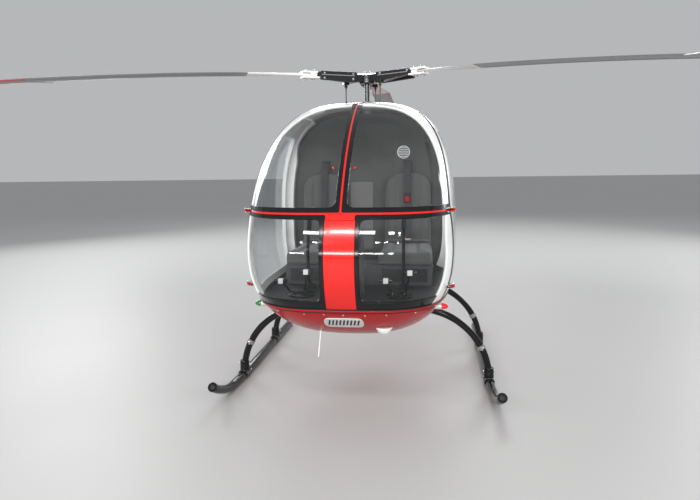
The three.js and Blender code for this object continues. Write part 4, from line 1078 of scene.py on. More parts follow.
tail_y, tail_z, tail_hub_x = mast_y + 4.0, 1.6, 0.205
case_profile = rounded_line([(2.4705, 1.4985, 0.02), (2.59, 1.4925, 0.02), (2.615, 1.56, 0.03),
                             (2.612, 1.655, 0.03), (2.5, 1.655, 0.035), (2.4705, 1.61, 0.01)],
                            closed=True, step=0.008)
case = [extruded(case_profile, 0, -0.06, 0.06),
        turned([(0.04, 0.05), (0.066, 0.05), (0.074, 0.038), (0.118, 0.037), (0.1195, 0.03)],
               (0, tail_y, tail_z), (1, 0, 0), 40),
        turned([(0.0, 0.074), (0.01, 0.074), (0.016, 0.062)], (0, 2.4705, boom_at(2.4705)[0]),
               boom_way, 40)]
made("tail_gearbox_case", case, cast_alloy, ["tail_gearbox"], bevel=0.003)
flange_turns = np.linspace(0, 2 * math.pi, 8, endpoint=False)
flange_ring = np.c_[np.full(8, 0.066), tail_y + 0.043 * np.cos(flange_turns),
                    tail_z + 0.043 * np.sin(flange_turns)]
hardware("tail_gearbox_bolts", bolt_shape, flange_ring, (1, 0, 0), bright_steel, size=0.55)
gear_black = finish("gear_black_enamel", "black_paint", (0.003, 0.003, 0.004), 0.12, coat=0.25, mottle=0.25,
                    dust=0.003, grain=0.05, grain_scale=120, specular=0.25)
guard_foot = 0.9 - 0.0003 - 0.011
# Columns: station from the mast, z.
guard_route = [(3.765, guard_foot), (3.955, guard_foot), (4.15, guard_foot - 0.012),
               (4.4, guard_foot + 0.01), (4.62, guard_foot + 0.06)]
guard_y = np.linspace(3.765, 4.62, 48)
guard_path = np.c_[0 * guard_y, mast_y + guard_y, through(guard_route, guard_y)[:, 0]]
made("tail_guard_tube", [swept(guard_path, 0.0105, sides=20)], gear_black, ["tail_guard"], smooth_to=50)
made("tail_guard_clips", [block((-0.014, mast_y + y - 0.012, guard_foot - 0.014),
                                (0.014, mast_y + y + 0.012, guard_foot + 0.02))
                          for y in (3.8, 3.915)], cast_alloy, bevel=0.003)

# Landing gear. Two bent steel tubes in black enamel carry the ground skids on bolted
# saddles; each tube has a grey clamp on its leg and a rubber ring where it leaves the
# shell, and each skid turns up at the front to an end closed by a rubber plug.

arc_x, arc_z, arc_radius, tube_radius, tube_foot_z = 0.398, 0.04, 0.525, 0.025, 0.096
front_tube_y, rear_tube_y = mast_y - 0.461, mast_y + 0.462
tube_foot_turn = math.asin((tube_foot_z - arc_z) / arc_radius)
skid_x, skid_radius = 0.922, 0.031
# Columns: station from the mast, distance from the middle, z.
skid_route = [(-1.086, 0.947, 0.153), (-1.02, 0.9444, 0.115), (-0.93, 0.9408, 0.076),
              (-0.82, 0.9364, 0.043), (-0.7, 0.9316, 0.031), (-0.461, 0.922, 0.031),
              (0.0, 0.922, 0.031), (1.06, 0.922, 0.031)]


def inside_body(points):
    """Which points are inside the cabin or the cowls."""
    x, y, z = np.abs(points[:, 0]), points[:, 1], points[:, 2]
    top, widest, bottom, half, above, below = through(cowl_stations, np.maximum(y - mast_y, cowl_front)).T
    power, height = np.where(z > widest, above, below), np.where(z > widest, top - widest, widest - bottom)
    in_cowl = (x / half) ** power + np.abs((z - widest) / height) ** power < 1
    return np.where(y < mast_y + cowl_front, x < skin_side(y, z), in_cowl)


for y, end in ((front_tube_y, "front"), (rear_tube_y, "rear")):
    turns = np.linspace(math.pi / 2, tube_foot_turn, 56)
    leg = np.c_[arc_x + arc_radius * np.cos(turns), np.full(56, y), arc_z + arc_radius * np.sin(turns)]
    whole = np.concatenate([leg[::-1] * (-1, 1, 1), leg])
    made(f"cross_tube_{end}_bar", [swept(whole, tube_radius, sides=28)], gear_black,
         [f"cross_tube_{end}"], smooth_to=50)
    rings, clamps, bolts, bolt_ways = [], [], [], []
    for side in (1, -1):
        ring = []
        for around in np.linspace(0, 2 * math.pi, 36, endpoint=False):
            lift = tube_radius * math.sin(around)
            radius = arc_radius + lift
            out = np.linspace(math.pi / 2 + 0.35, tube_foot_turn, 500)
            line = np.c_[arc_x + radius * np.cos(out),
                         np.full(500, y + tube_radius * math.cos(around)), arc_z + radius * np.sin(out)]
            left = np.nonzero(~inside_body(line))[0]
            ring.append(line[left[0] if len(left) else -1])
        ring = np.array(ring + ring[:2]) * (side, 1, 1)
        rings.append(swept(ring, 0.0065, sides=8))
        turn = math.asin((0.285 - arc_z) / arc_radius)
        out = np.array((math.cos(turn) * side, 0, math.sin(turn)))
        down = np.array((math.sin(turn) * side, 0, -math.cos(turn)))
        place = np.array((side * arc_x, y, arc_z)) + out * arc_radius
        clamps.append(turned([(-0.016, 0.0262), (-0.015, 0.03), (0.015, 0.03), (0.016, 0.0262)],
                             place, down, 32))
        for ear in (-1, 1):
            foot = place + np.array((0, ear * 0.03, 0))
            clamps.append(turned([(-0.016, 0.0035), (0.016, 0.0035)], foot, out, 4))
            clamps.append((foot + np.array([out * a * 0.006 + (0, ear * b * 0.01, 0) + down * c * 0.018
                                            for a in (-1, 1) for b in (-1, 1) for c in (-1, 1)]),
                           [(0, 1, 3, 2), (4, 6, 7, 5), (0, 4, 5, 1), (2, 3, 7, 6), (0, 2, 6, 4),
                            (1, 5, 7, 3)]))
            bolts.append(foot + out * 0.006 + (0, ear * 0.004, 0))
            bolt_ways.append(out)
    made(f"tube_shell_rings_{end}", rings, rubber, smooth_to=60)
    made(f"tube_clamps_{end}", clamps, cast_alloy, bevel=0.0012)
    hardware(f"tube_clamp_bolts_{end}", bolt_shape, bolts, bolt_ways, bright_steel, size=0.7)

for side, name in left_right:
    stations = np.concatenate([np.linspace(-1.086, -0.461, 44), np.linspace(-0.44, 1.06, 30)])
    route = through(skid_route, stations)
    run = np.c_[side * route[:, 0], mast_y + stations, route[:, 1]]
    end_way = (run[0] - run[1]) / np.linalg.norm(run[0] - run[1])
    parts = [swept(run, skid_radius, sides=32),
             turned([(-0.004, skid_radius + 0.002), (0.003, skid_radius + 0.002),
                     (0.006, skid_radius - 0.001), (0.0055, 0.022), (0.001, 0.021)],
                    run[0] - end_way * 0.006, end_way, 36)]
    bolts, bolt_ways = [], []
    for y in (front_tube_y, rear_tube_y):
        parts.append(turned([(-0.06, 0.0322), (-0.058, 0.037), (0.058, 0.037), (0.06, 0.0322)],
                            (side * skid_x, y, skid_radius + 0.0065), (0, 1, 0), 32))
        parts.append(turned([(-0.05, 0.0375), (0.03, 0.0345), (0.036, 0.032), (0.0365, 0.026)],
                            (side * (skid_x - 0.001), y, 0.098), (0, 0, 1), 32))
        parts.append(block((side * (skid_x - 0.04), y - 0.055, 0.034),
                           (side * (skid_x + 0.036), y + 0.055, 0.044)))
        for across in (-0.0335, 0.0295):
            for along in (-0.046, 0.046):
                bolts.append((side * (skid_x + across), y + along, 0.0438))
                bolt_ways.append((0, 0, 1))
        for across, way in ((-0.0345, -1), (0.0325, 1)):
            bolts.append((side * (skid_x + across), y, 0.104))
            bolt_ways.append((side * way, 0, 0))
    made(f"skid_{name}_run", parts, gear_black, [f"skid_{name}"], bevel=0.0015)
    hardware(f"skid_bolts_{name}", bolt_shape, bolts, bolt_ways, bright_steel, size=0.72)
    made(f"skid_end_plug_{name}", [turned([(-0.01, 0.0215), (0.0012, 0.0215), (0.0045, 0.017),
                                           (0.0065, 0.006), (0.0067, 0.0)],
                                          run[0] - end_way * 0.004, end_way, 32)], rubber)

# Rotor head. A black machined hub with three arms; each carries a sleeve with a deep
# leading plate, a two-plate fork for the blade root and a horn for the pitch link. A
# bright three-pointed plate and a dome cap it.

hub_z = 2.27
blade_turns = {1: math.radians(90), 2: math.radians(210), 3: math.radians(330)}


def swung(points, turn):
    """Points turned about the upright axis through the origin."""
    points = np.asarray(points, float)
    c, s = math.cos(turn), math.sin(turn)
    return np.c_[points[:, 0] * c - points[:, 1] * s, points[:, 0] * s + points[:, 1] * c, points[:, 2]]


def about_mast(part, turn):
    """A part drawn along x from the mast, turned about the mast to its place."""
    verts, faces = part
    return swung(verts, turn) + (0, mast_y, 0), faces


def all_round(parts):
    return [about_mast(part, turn) for turn in blade_turns.values() for part in parts]


head_black = finish("head_black_anodised", "black_paint", (0.014, 0.014, 0.016), 0.3, metallic=0.35,
                    coat=0.3, mottle=0.2, dust=0.03, grain=0.1, grain_scale=300)
blade_z = hub_z + 0.007
taper = [(0.11, hub_z - 0.04), (0.3, hub_z - 0.021), (0.42, hub_z - 0.008),
         (0.42, hub_z + 0.032), (0.11, hub_z + 0.034)]
plate = [(0.11, hub_z - 0.042), (0.4, hub_z - 0.03), (0.4, hub_z + 0.034), (0.11, hub_z + 0.034)]
root_half, fork_wall = 0.0119, 0.013
fork_top, fork_foot = blade_z + root_half + fork_wall, blade_z - root_half - fork_wall
arm_parts = [block((0.04, -0.034, hub_z - 0.03), (0.14, 0.034, hub_z + 0.022)),
             extruded(taper, 1, -0.042, 0.042), extruded(plate, 1, 0.0405, 0.06),
             block((0.135, -0.072, hub_z - 0.05), (0.179, -0.028, hub_z - 0.026))]
core = turned([(hub_z - 0.045, 0.03), (hub_z - 0.043, 0.058), (hub_z - 0.038, 0.062),
               (hub_z + 0.016, 0.062), (hub_z + 0.022, 0.056), (hub_z + 0.0222, 0.024)],
              (0, mast_y, 0), (0, 0, 1), 48)
made("rotor_hub_body", [core] + all_round(arm_parts), head_black,
     ["rotor_hub"], bevel=0.003, body="main_rotor")
fork_plates = [block((0.4, -0.042, blade_z + root_half), (0.53, 0.042, fork_top)),
               block((0.4, -0.042, fork_foot), (0.53, 0.042, blade_z - root_half))]
made("blade_fork_plates", all_round(fork_plates), gelcoat, bevel=0.003, body="main_rotor")
trim_line = [block((0.128, 0.0597, hub_z + 0.004), (0.392, 0.0612, hub_z + 0.01)),
             block((0.128, -0.0432, hub_z + 0.006), (0.392, -0.0418, hub_z + 0.012))]
made("sleeve_bright_lines", all_round(trim_line), bright_steel, bevel=0.0004, body="main_rotor")
# Columns: place as on an arm along x, and the way the bolt's head looks.
spots = np.array([(x, y, z, 0, 0, way) for z, way in ((fork_top, 1), (fork_foot, -1))
                  for x in (0.44, 0.5) for y in (-0.024, 0.024)]
                 + [(x, 0.06, hub_z + z, 0, 1, 0) for x in (0.14, 0.37) for z in (-0.018, 0.02)]
                 + [(x, -0.042, hub_z + 0.02, 0, -1, 0) for x in (0.15, 0.39)]
                 + [(0.2, -0.012, hub_z + 0.033, 0, 0, 1), (0.34, -0.012, hub_z + 0.0315, 0, 0, 1)])
turns = blade_turns.values()
hardware("rotor_head_bolts", bolt_shape,
         np.concatenate([swung(spots[:, :3], turn) for turn in turns]) + (0, mast_y, 0),
         np.concatenate([swung(spots[:, 3:], turn) for turn in turns]), bright_steel, size=0.95,
         body="main_rotor")
star = [(reach * math.cos(at), reach * math.sin(at), corner) for turn in turns
        for reach, at, corner in ((0.092, turn, 0.012), (0.04, turn + math.pi / 3, 0.014))]
star_line = rounded_line(star, closed=True, step=0.004) + (0, mast_y)
cap = [extruded(star_line, 2, hub_z + 0.0223, hub_z + 0.032),
       turned([(0.0315, 0.034), (0.038, 0.033), (0.045, 0.028), (0.05, 0.02), (0.0517, 0.01),
               (0.052, 0.0)], (0, mast_y, hub_z), (0, 0, 1), 40)]
made("hub_star_cap", cap, bright_steel, ["hub_cap"], bevel=0.0012, body="main_rotor")

# Mast, swashplate and pitch links. A dark oiled steel mast through the hub; two rings
# round it, and from the upper one three dark rods with ball ends up to the horns.

oiled_steel = finish("oiled_dark_steel", "bright_metal", (0.085, 0.085, 0.09), 0.28, metallic=0.85,
                     mottle=0.15, dust=0.04, grain=0.1, grain_scale=700)
made("mast_shaft", [turned([(1.7003, 0.02), (2.045, 0.02), (2.052, 0.0245), (2.058, 0.0245),
                            (2.059, 0.02), (2.222, 0.02), (2.298, 0.0197), (2.2985, 0.017)],
                           (0, mast_y, 0), (0, 0, 1), 40)], oiled_steel, ["rotor_mast"], smooth_to=30,
     body="main_rotor")
link_x, link_y, link_top = 0.157, -0.05, hub_z - 0.0505
ring_profile = [(2.06, 0.026), (2.06, 0.078), (2.062, 0.084), (2.0685, 0.084), (2.0695, 0.08),
                (2.0705, 0.084), (2.078, 0.084), (2.08, 0.08), (2.08, 0.046), (2.092, 0.04),
                (2.094, 0.03), (2.094, 0.0215), (2.06, 0.0215)]
link_parts = [swept([(0.06, -0.02, 2.07), (link_x, link_y, 2.07)], (0.01, 0.0065), 14),
              turned([(-0.013, 0.004), (-0.011, 0.0095), (0.0, 0.012), (0.011, 0.0095), (0.013, 0.004)],
                     (link_x, link_y, 2.071), (0.83, -0.28, 0), 20)]
made("swashplate_rings", [turned(ring_profile, (0, mast_y, 0), (0, 0, 1), 56)] + all_round(link_parts),
     cast_alloy, ["swashplate"], bevel=0.0008, body="main_rotor")
rods = [turned([(2.074, 0.0045), (2.086, 0.0075), (2.095, 0.0075), (2.0955, 0.0055), (2.188, 0.0055),
                (2.1885, 0.0075), (2.199, 0.0075), (2.2045, 0.0045)], (link_x, link_y, 0), (0, 0, 1), 16),
        turned([(-0.012, 0.004), (-0.01, 0.0085), (0.0, 0.0105), (0.01, 0.0085), (0.012, 0.004)],
               (link_x, link_y, 2.209), (0.95, 0.3, 0), 20),
        swept([(link_x, link_y, 2.209), (link_x, link_y, link_top + 0.001)], 0.0045, 10)]
made("pitch_link_rods", all_round(rods), oiled_steel, smooth_to=40, body="main_rotor")

# Main rotor blades. Bonded blades in painted skins: a white doubled root, pale grey out
# to the red tip, a bare steel strip on the leading edge, and a small trim tab.

rotor_radius, blade_root, blade_in_grip, blade_chord, blade_thick = 3.25, 0.46, 0.07, 0.17, 0.021
ahead_of_axis = 0.35
# Columns: radius, chord as a share, thickness as a share.
blade_route = [(0.46, 0.42, 1.1), (0.53, 0.46, 1.1), (0.62, 0.5, 1.05), (0.95, 1.0, 1.0),
               (1.5, 1.0, 1.0), (2.9, 1.0, 1.0), (3.21, 1.0, 0.95), (rotor_radius, 0.72, 0.5)]


def blade_section(radius, points=15):
    chord, thick = through(blade_route, radius)[0]
    beyond = max(radius - blade_root - blade_in_grip, 0)
    section = wing_section(blade_chord * chord, blade_thick * thick, points)
    return np.c_[np.full(len(section), radius), blade_chord * chord * ahead_of_axis - section[:, 0],
                 blade_z - 0.025 * beyond - 0.0192 * beyond ** 2 + section[:, 1]]


def painted_blade():
    """Grey, white to 0.95 m and red past 2.35 m from the mast, by place, with wear."""
    material = finish("blade_paint", "blade_skin", (0.2, 0.2, 0.205), 0.34, coat=0.2, mottle=0.05,
                      dust=0.06, grain=0.05, grain_scale=140)
    tree = material.node_tree
    shader = tree.nodes["Principled BSDF"]
    base = shader.inputs["Base Color"].links[0].from_socket
    place = node(tree, "ShaderNodeTexCoord").outputs["Object"]
    away = node(tree, "ShaderNodeVectorMath", {0: place, 1: (0, mast_y, 0)}, operation="SUBTRACT")
    flat = node(tree, "ShaderNodeVectorMath", {0: away.outputs["Vector"], 1: (1, 1, 0)},
                operation="MULTIPLY")
    radius = node(tree, "ShaderNodeVectorMath", {0: flat.outputs["Vector"]}, operation="LENGTH")
    for limit, side, paint in ((0.95, "LESS_THAN", (0.74, 0.73, 0.71, 1)),
                               (2.35, "GREATER_THAN", (0.62, 0.02, 0.014, 1))):
        test = node(tree, "ShaderNodeMath", {0: radius.outputs["Value"], 1: limit}, operation=side)
        coat = node(tree, "ShaderNodeMix", {"Factor": test.outputs[0], "A": base, "B": paint},
                    data_type="RGBA")
        base = coat.outputs["Result"]
    tree.links.new(base, shader.inputs["Base Color"])
    return material


blade_paint = painted_blade()
radii = np.concatenate([np.linspace(0.46, 0.95, 22), np.linspace(1.0, 3.18, 24),
                        np.linspace(3.2, rotor_radius, 7)])
blade_skin = lofted([blade_section(r) for r in radii])
strip_radii = np.linspace(0.98, 3.19, 22)
edge_strip = lofted([np.concatenate([s[:6] + (0, 0.0003, 0.0006), s[:-6:-1] + (0, 0.0003, -0.0006)])
                     for s in (blade_section(r) for r in strip_radii)])
tab_y, tab_z = blade_section(2.3)[14][1:]
trim_tab = block((2.2, tab_y - 0.028, tab_z - 0.0008), (2.42, tab_y + 0.006, tab_z + 0.0008))
root_cuff = [block((0.405, -0.03, blade_z - root_half + 0.0003),
                   (0.47, 0.03, blade_z + root_half - 0.0003)),
             lofted([blade_section(r) * (1, 1.02, 1) for r in (0.4605, 0.555)])]
for number, turn in blade_turns.items():
    made(f"blade_skin_{number}", [about_mast(blade_skin, turn)], blade_paint,
         [f"rotor_blade_{number}"], smooth_to=60, body="main_rotor")
    made(f"blade_trim_tab_{number}", [about_mast(trim_tab, turn)], bright_steel, body="main_rotor")
made("blade_root_cuffs", all_round(root_cuff), gelcoat, bevel=0.002, body="main_rotor")
worn_steel = finish("worn_grey_steel", "bright_metal", (0.26, 0.26, 0.27), 0.42, metallic=0.7,
                    mottle=0.12, dust=0.06, grain=0.1, grain_scale=500)
made("blade_edge_strips", all_round([edge_strip]), worn_steel, smooth_to=60, body="main_rotor")

# Tail rotor. A steel yoke on the gearbox shaft with two painted blades bolted in it.

yoke = [turned([(0.1203, 0.017), (0.18, 0.017), (0.181, 0.028), (0.186, 0.03), (0.224, 0.03),
                (0.229, 0.024), (0.235, 0.016), (0.235, 0.0)], (0, tail_y, tail_z), (1, 0, 0), 36),
        block((tail_hub_x - 0.016, tail_y - 0.022, tail_z - 0.095),
              (tail_hub_x + 0.016, tail_y + 0.022, tail_z + 0.095))]
made("tail_rotor_yoke", yoke, bright_steel, ["tail_rotor_hub"], bevel=0.003, body="tail_rotor")
tail_bolts = [(tail_hub_x + 0.016, tail_y, tail_z + z) for z in (-0.082, -0.058, 0.058, 0.082)]
hardware("tail_rotor_bolts", bolt_shape, tail_bolts, (1, 0, 0), bright_steel, size=0.6, body="tail_rotor")
tail_chord, tail_radius = 0.105, 0.59
for number, sign in ((1, 1), (2, -1)):
    rings = []
    for radius in np.concatenate([np.linspace(0.0953, 0.24, 8), np.linspace(0.28, 0.575, 9),
                                  np.linspace(0.58, tail_radius, 3)]):
        share = float(np.interp(radius, (0.0953, 0.2, 0.58, tail_radius), (0.6, 1.0, 1.0, 0.86)))
        section = wing_section(tail_chord * share, 0.013)
        rings.append(np.c_[tail_hub_x + section[:, 1],
                           tail_y + (section[:, 0] - tail_chord * share * 0.35) * sign,
                           np.full(len(section), tail_z + sign * radius)])
    made(f"tail_blade_skin_{number}", [lofted(rings)], gelcoat,
         [f"tail_blade_{number}"], smooth_to=60, body="tail_rotor", slot="blade_skin")
    tip = [(ring - ring.mean(0)) * (1.12, 1.012, 1) + ring.mean(0) + (0, 0, sign * 0.0006)
           for ring in rings[13:]]
    made(f"tail_blade_tip_{number}", [lofted(tip)], bright_paint, smooth_to=60, body="tail_rotor")

# Nose fittings. A silver grille with nine slanted slots over a black sheet that is painted
# shade in them, a landing light under a white rim, a thin white rod, and a red and a green
# side lamp.

grille_half, grille_low, grille_high, grille_corner = 0.116, 0.672, 0.744, 0.035
satin_silver = finish("satin_silver_paint", "bright_metal", (0.66, 0.66, 0.65), 0.28, metallic=0.25,
                      coat=0.3, mottle=0.04, dust=0.05)
grille_frame = front_line(rounded_line(
    [(-grille_half, grille_low, grille_corner), (grille_half, grille_low, grille_corner),
     (grille_half, grille_high, grille_corner), (-grille_half, grille_high, grille_corner)],
    closed=True, step=0.004))
slot_count, slot_pitch, slot_half, slot_lean, slot_reach = 9, 0.0212, 0.0052, 0.007, 0.024
slot_low, slot_high = [(grille_low + grille_high) / 2 + reach for reach in (-slot_reach, slot_reach)]
grille_slots = []
for i in range(slot_count):
    foot = (i - (slot_count - 1) / 2) * slot_pitch - slot_lean
    head = foot + 2 * slot_lean
    grille_slots.append(front_line(rounded_line(
        [(foot - slot_half, slot_low, 0.004), (foot + slot_half, slot_low, 0.004),
         (head + slot_half, slot_high, 0.004), (head - slot_half, slot_high, 0.004)],
        closed=True, step=0.003)))
panel("vent_grille_frame", [to_chart(line) for line in [grille_frame] + grille_slots],
      (-0.007, -0.0012), satin_silver, ["vent_grille"], edge=0.0012, step=0.008)
# A black sheet under the grille's slots: painted shade for the dark opening behind them.
grille_shade_outline = front_line(rounded_line(
    [(-0.106, 0.681, 0.026), (0.106, 0.681, 0.026), (0.106, 0.735, 0.026), (-0.106, 0.735, 0.026)],
    closed=True, step=0.005))
panel("vent_grille_back", [to_chart(grille_shade_outline)], (-0.001, 0.001), rubber, edge=0.0005,
      slot="black_paint")

lamp_place, lamp_radius = np.array((0.224, mast_y - 1.3, 0.655)), 0.049


def lamp_glass(name, slot, tint):
    """Thick coloured glass: tinted through, glossy outside, uneven a little."""
    material = finish(name, slot, tint, 0.08, coat=0.8, mottle=0.08, mottle_scale=20, grain=0.3,
                      grain_scale=260, grain_depth=0.0005)
    shader = material.node_tree.nodes["Principled BSDF"]
    shader.inputs["Transmission Weight"].default_value = 0.25
    shader.inputs["Emission Color"].default_value = (*tint, 1)
    shader.inputs["Emission Strength"].default_value = 0.1
    return material


lamp_white = lamp_glass("lamp_white_glass", "lamp_white", (0.85, 0.85, 0.83))
turns = np.linspace(0, math.pi / 2, 14)
dome = [(-math.sin(t) * 0.0475, math.cos(t) * lamp_radius * 0.955) for t in turns]
made("landing_light_lens", [turned([(0.0, 0.02)] + dome, lamp_place, (0, 0, 1), 40)], lamp_white,
     ["landing_light"], smooth_to=50)
made("landing_light_rim", [turned([(-0.0005, 0.03), (0.0035, 0.0455), (0.0035, 0.0485), (0.001, 0.049),
                                   (-0.006, 0.0487), (-0.0075, 0.0465), (-0.004, 0.0462)],
                                  lamp_place - (0, 0, 0.003), (0, 0, 1), 40)], gelcoat, smooth_to=30)
rod_top, rod_foot = np.array((-0.1728, mast_y - 1.2, 0.64)), np.array((-0.197, mast_y - 1.2, 0.425))
made("belly_rod_bar", [swept(np.linspace(rod_top, rod_foot, 12), np.linspace(0.005, 0.0032, 12), 16),
                       turned([(-0.006, 0.014), (0.002, 0.012), (0.01, 0.0065), (0.024, 0.0055)],
                              rod_top - (0.0045, 0, 0.04), rod_foot - rod_top, 20)],
     gelcoat, ["belly_rod"], smooth_to=50)
nav_y, nav_z = mast_y - 1.16, 0.753
# Columns: side, name, slot, tint.
for side, name, slot, tint in ((1, "left", "lens_red", (0.75, 0.01, 0.01)),
                               (-1, "right", "lens_green", (0.01, 0.22, 0.06))):
    glass = [(0.56, 0.018), (0.572, 0.0185), (0.586, 0.0165), (0.597, 0.012), (0.603, 0.0065), (0.605, 0.0)]
    made(f"side_lamp_glass_{name}", [turned(glass, (0, nav_y, nav_z), (side, 0, 0), 28)],
         lamp_glass(f"lamp_glass_{name}", slot, tint), [f"nav_light_{name}"], smooth_to=50)
    base = [(0.508, 0.0165), (0.53, 0.019), (0.556, 0.02), (0.562, 0.0197), (0.563, 0.0182)]
    made(f"side_lamp_base_{name}", [turned(base, (0, nav_y, nav_z), (side, 0, 0), 28)],
         satin_silver, smooth_to=30)

# Cabin floor and bulkhead. A floor in ribbed black rubber, and a dark lined wall behind
# the seats with a removable grey panel and two red knobs.


def waves(tree, scale, direction, distortion=0.0):
    """Bands across one of the piece's own axes."""
    place = node(tree, "ShaderNodeTexCoord").outputs["Object"]
    bands = node(tree, "ShaderNodeTexWave", {"Vector": place, "Scale": scale, "Distortion": distortion},
                 wave_type="BANDS", bands_direction=direction)
    return bands.outputs["Fac"]


def ribbed_mat(name, colour, pitch):
    """Rubber matting: fine ribs along the cabin, dulled by dust."""
    material = finish(name, "trim_grey", colour, 0.62, mottle=0.15, dust=0.1)
    roughened(material, waves(material.node_tree, 0.5 / pitch, "X"), 0.6, 0.0015)
    return material


def lining(name, colour, scale=700.0, strength=0.5):
    """Woven cloth: a fine crossed weave with slight fading and lint."""
    material = finish(name, "seat_fabric", colour, 0.82, sheen=0.25, mottle=0.16, mottle_scale=7,
                      dust=0.05, specular=0.25)
    tree = material.node_tree
    weave = node(tree, "ShaderNodeMath", {0: waves(tree, scale, "X", 1.5), 1: waves(tree, scale, "Z", 1.5)},
                 operation="MULTIPLY")
    roughened(material, weave.outputs[0], strength, 0.0006)
    return material


rubber_mat = ribbed_mat("ribbed_rubber_mat", (0.016, 0.017, 0.018), 0.006)
wall_cloth = lining("bulkhead_lining", (0.09, 0.09, 0.088))
# The CAD solids that stay as they are.
for name, material in (("cabin_floor", rubber_mat), ("rear_bulkhead", wall_cloth),
                       ("engine", cast_alloy), ("main_gearbox", cast_alloy)):
    solid = bpy.data.objects[name]
    solid.data.materials.clear()
    solid.data.materials.append(material)
grey_plastic = finish("grey_textured_plastic", "trim_grey", (0.05, 0.052, 0.055), 0.48, mottle=0.08,
                      dust=0.03, grain=0.4, grain_scale=700, grain_depth=0.0004)
floor_top, wall_y = 0.785, mast_y - 0.081
access_panel = extruded(rounded_line([(-0.131, 0.945, 0.02), (0.049, 0.945, 0.02), (0.049, 1.477, 0.02),
                                      (-0.131, 1.477, 0.02)], closed=True, step=0.01),
                        1, wall_y - 0.008, wall_y + 0.001)
panel_grey = finish("panel_grey_paint", "trim_grey", (0.135, 0.127, 0.122), 0.5, mottle=0.06, dust=0.03,
                    grain=0.3, grain_scale=500, grain_depth=0.0003)
made("bulkhead_access_panel", [access_panel], panel_grey, bevel=0.002)
screws = [(x, wall_y - 0.0082, z) for x in (-0.12, 0.038) for z in np.linspace(0.96, 1.465, 5)]
hardware("access_panel_screws", screw_shape, screws, (0, -1, 0), bright_steel, size=1.2)
made("bulkhead_knobs", [turned([(-0.001, 0.013), (0.006, 0.013), (0.007, 0.01), (0.02, 0.011),
                                (0.024, 0.008), (0.025, 0.0)], (x, wall_y, z), (0, -1, 0), 24)
                        for x, z in ((-0.264, 1.587), (-0.092, 1.585))], bright_paint, smooth_to=40)

outlet, outlet_radius = np.array((0.285, wall_y, 1.701)), 0.05
made("bulkhead_outlet_ring", [turned([(-0.001, 0.042), (0.006, 0.0425), (0.0085, 0.0445), (0.0085, 0.048),
                                      (0.006, outlet_radius), (-0.001, outlet_radius)], outlet,
                                     (0, -1, 0), 40)], satin_silver, smooth_to=30, slot="trim_grey")
slats = []
for lift in np.linspace(-0.033, 0.033, 6):
    half = math.sqrt(0.0425 ** 2 - lift ** 2)
    slats.append(block(outlet + (-half, -0.007, lift - 0.0035), outlet + (half, -0.001, lift + 0.0025)))
made("bulkhead_outlet_slats", slats, satin_silver, bevel=0.0006, slot="trim_grey")

# Seats. Foam cushions and backs under a grey woven cover, tied down along three sewn
# channels, on a box with a dark lid. The cover is blown up as a cloth over its foam.

seat_x, seat_box_top, seat_box_front = 0.32, 0.93, mast_y - 0.72
box_profile = [(seat_box_front, floor_top + 0.0003), (wall_y - 0.0003, floor_top + 0.0003),
               (wall_y - 0.0003, seat_box_top), (seat_box_front, seat_box_top)]
lids = [block((side * seat_x - 0.155, seat_box_front - 0.0035, 0.812),
              (side * seat_x + 0.155, seat_box_front + 0.002, 0.905)) for side in (1, -1)]
made("seat_box_shell", [extruded(box_profile, 0, -0.51, 0.51)], grey_plastic, ["seat_box"], bevel=0.006)
made("seat_box_lids", lids, rubber_mat, bevel=0.003)
seat_cloth = lining("seat_cover_cloth", (0.1, 0.102, 0.097), 900.0, 0.6)


def vertex_values(mesh, what):
    values = np.empty(len(mesh.vertices) * 3)
    mesh.vertices.foreach_get(what, values)
    return values.reshape(-1, 3)


def filled_cover(name, parts, channels, channel_axis, front_axis, front_sign, swell):
    """A cushion's cover blown up over its foam: the sewn channels stay where they are,
    and no point moves further than the swell."""
    cover = bpy.data.objects.new(name, solid_mesh(name + "_foam", parts))
    bpy.context.collection.objects.link(cover)
    remesh = cover.modifiers.new("even_mesh", "REMESH")
    remesh.mode, remesh.voxel_size = "VOXEL", 0.006
    even_mesh = as_mesh(cover)
    cover.modifiers.clear()
    cover.data = even_mesh
    rest = vertex_values(even_mesh, "co")
    toward = vertex_values(even_mesh, "normal")[:, front_axis] * front_sign
    near = np.min([np.abs(rest[:, channel_axis] - c) for c in channels], axis=0)
    sewn = (near < 0.0045) & (toward > 0.5)
    group = cover.vertex_groups.new(name="sewn")
    back = toward < -0.5
    group.add([int(i) for i in np.nonzero(sewn | back)[0]], 1.0, "REPLACE")
    cloth = cover.modifiers.new("cover", "CLOTH")
    cloth.settings.quality = 4
    cloth.settings.mass = 0.3
    cloth.settings.tension_stiffness = cloth.settings.compression_stiffness = 12
    cloth.settings.bending_stiffness = 0.3
    cloth.settings.use_pressure = True
    cloth.settings.uniform_pressure_force = 4.0
    cloth.settings.vertex_group_mass = "sewn"
    cloth.settings.effector_weights.gravity = 0.0
    for step in range(1, 17):
        bpy.context.scene.frame_set(step)
    blown = as_mesh(cover)
    cover.modifiers.clear()
    bpy.context.scene.frame_set(1)
    shift = vertex_values(blown, "co") - rest
    far = np.linalg.norm(shift, axis=1)
    shift *= np.minimum(1, swell / np.maximum(far, 1e-9))[:, None]
    rest = rest + shift
    rest[sewn, front_axis] -= front_sign * 0.004
    cover.data.vertices.foreach_set("co", rest.ravel())
    cover.data.polygons.foreach_set("use_smooth", [True] * len(cover.data.polygons))
    smooth = cover.modifiers.new("eased", "SMOOTH")
    smooth.factor, smooth.iterations = 0.5, 3
    result = as_mesh(cover)
    bpy.data.objects.remove(cover)
    return result


def padded_piece(name, mesh, shift, node_name):
    """One seat's cover, from the mesh that both seats share."""
    copy = mesh.copy()
    copy.transform(Matrix.Translation(shift))
    obj = bpy.data.objects.new(name, copy)
    dressed(obj, seat_cloth, [node_name])
    rounder = obj.modifiers.new("finer", "SUBSURF")
    rounder.levels = rounder.render_levels = 1


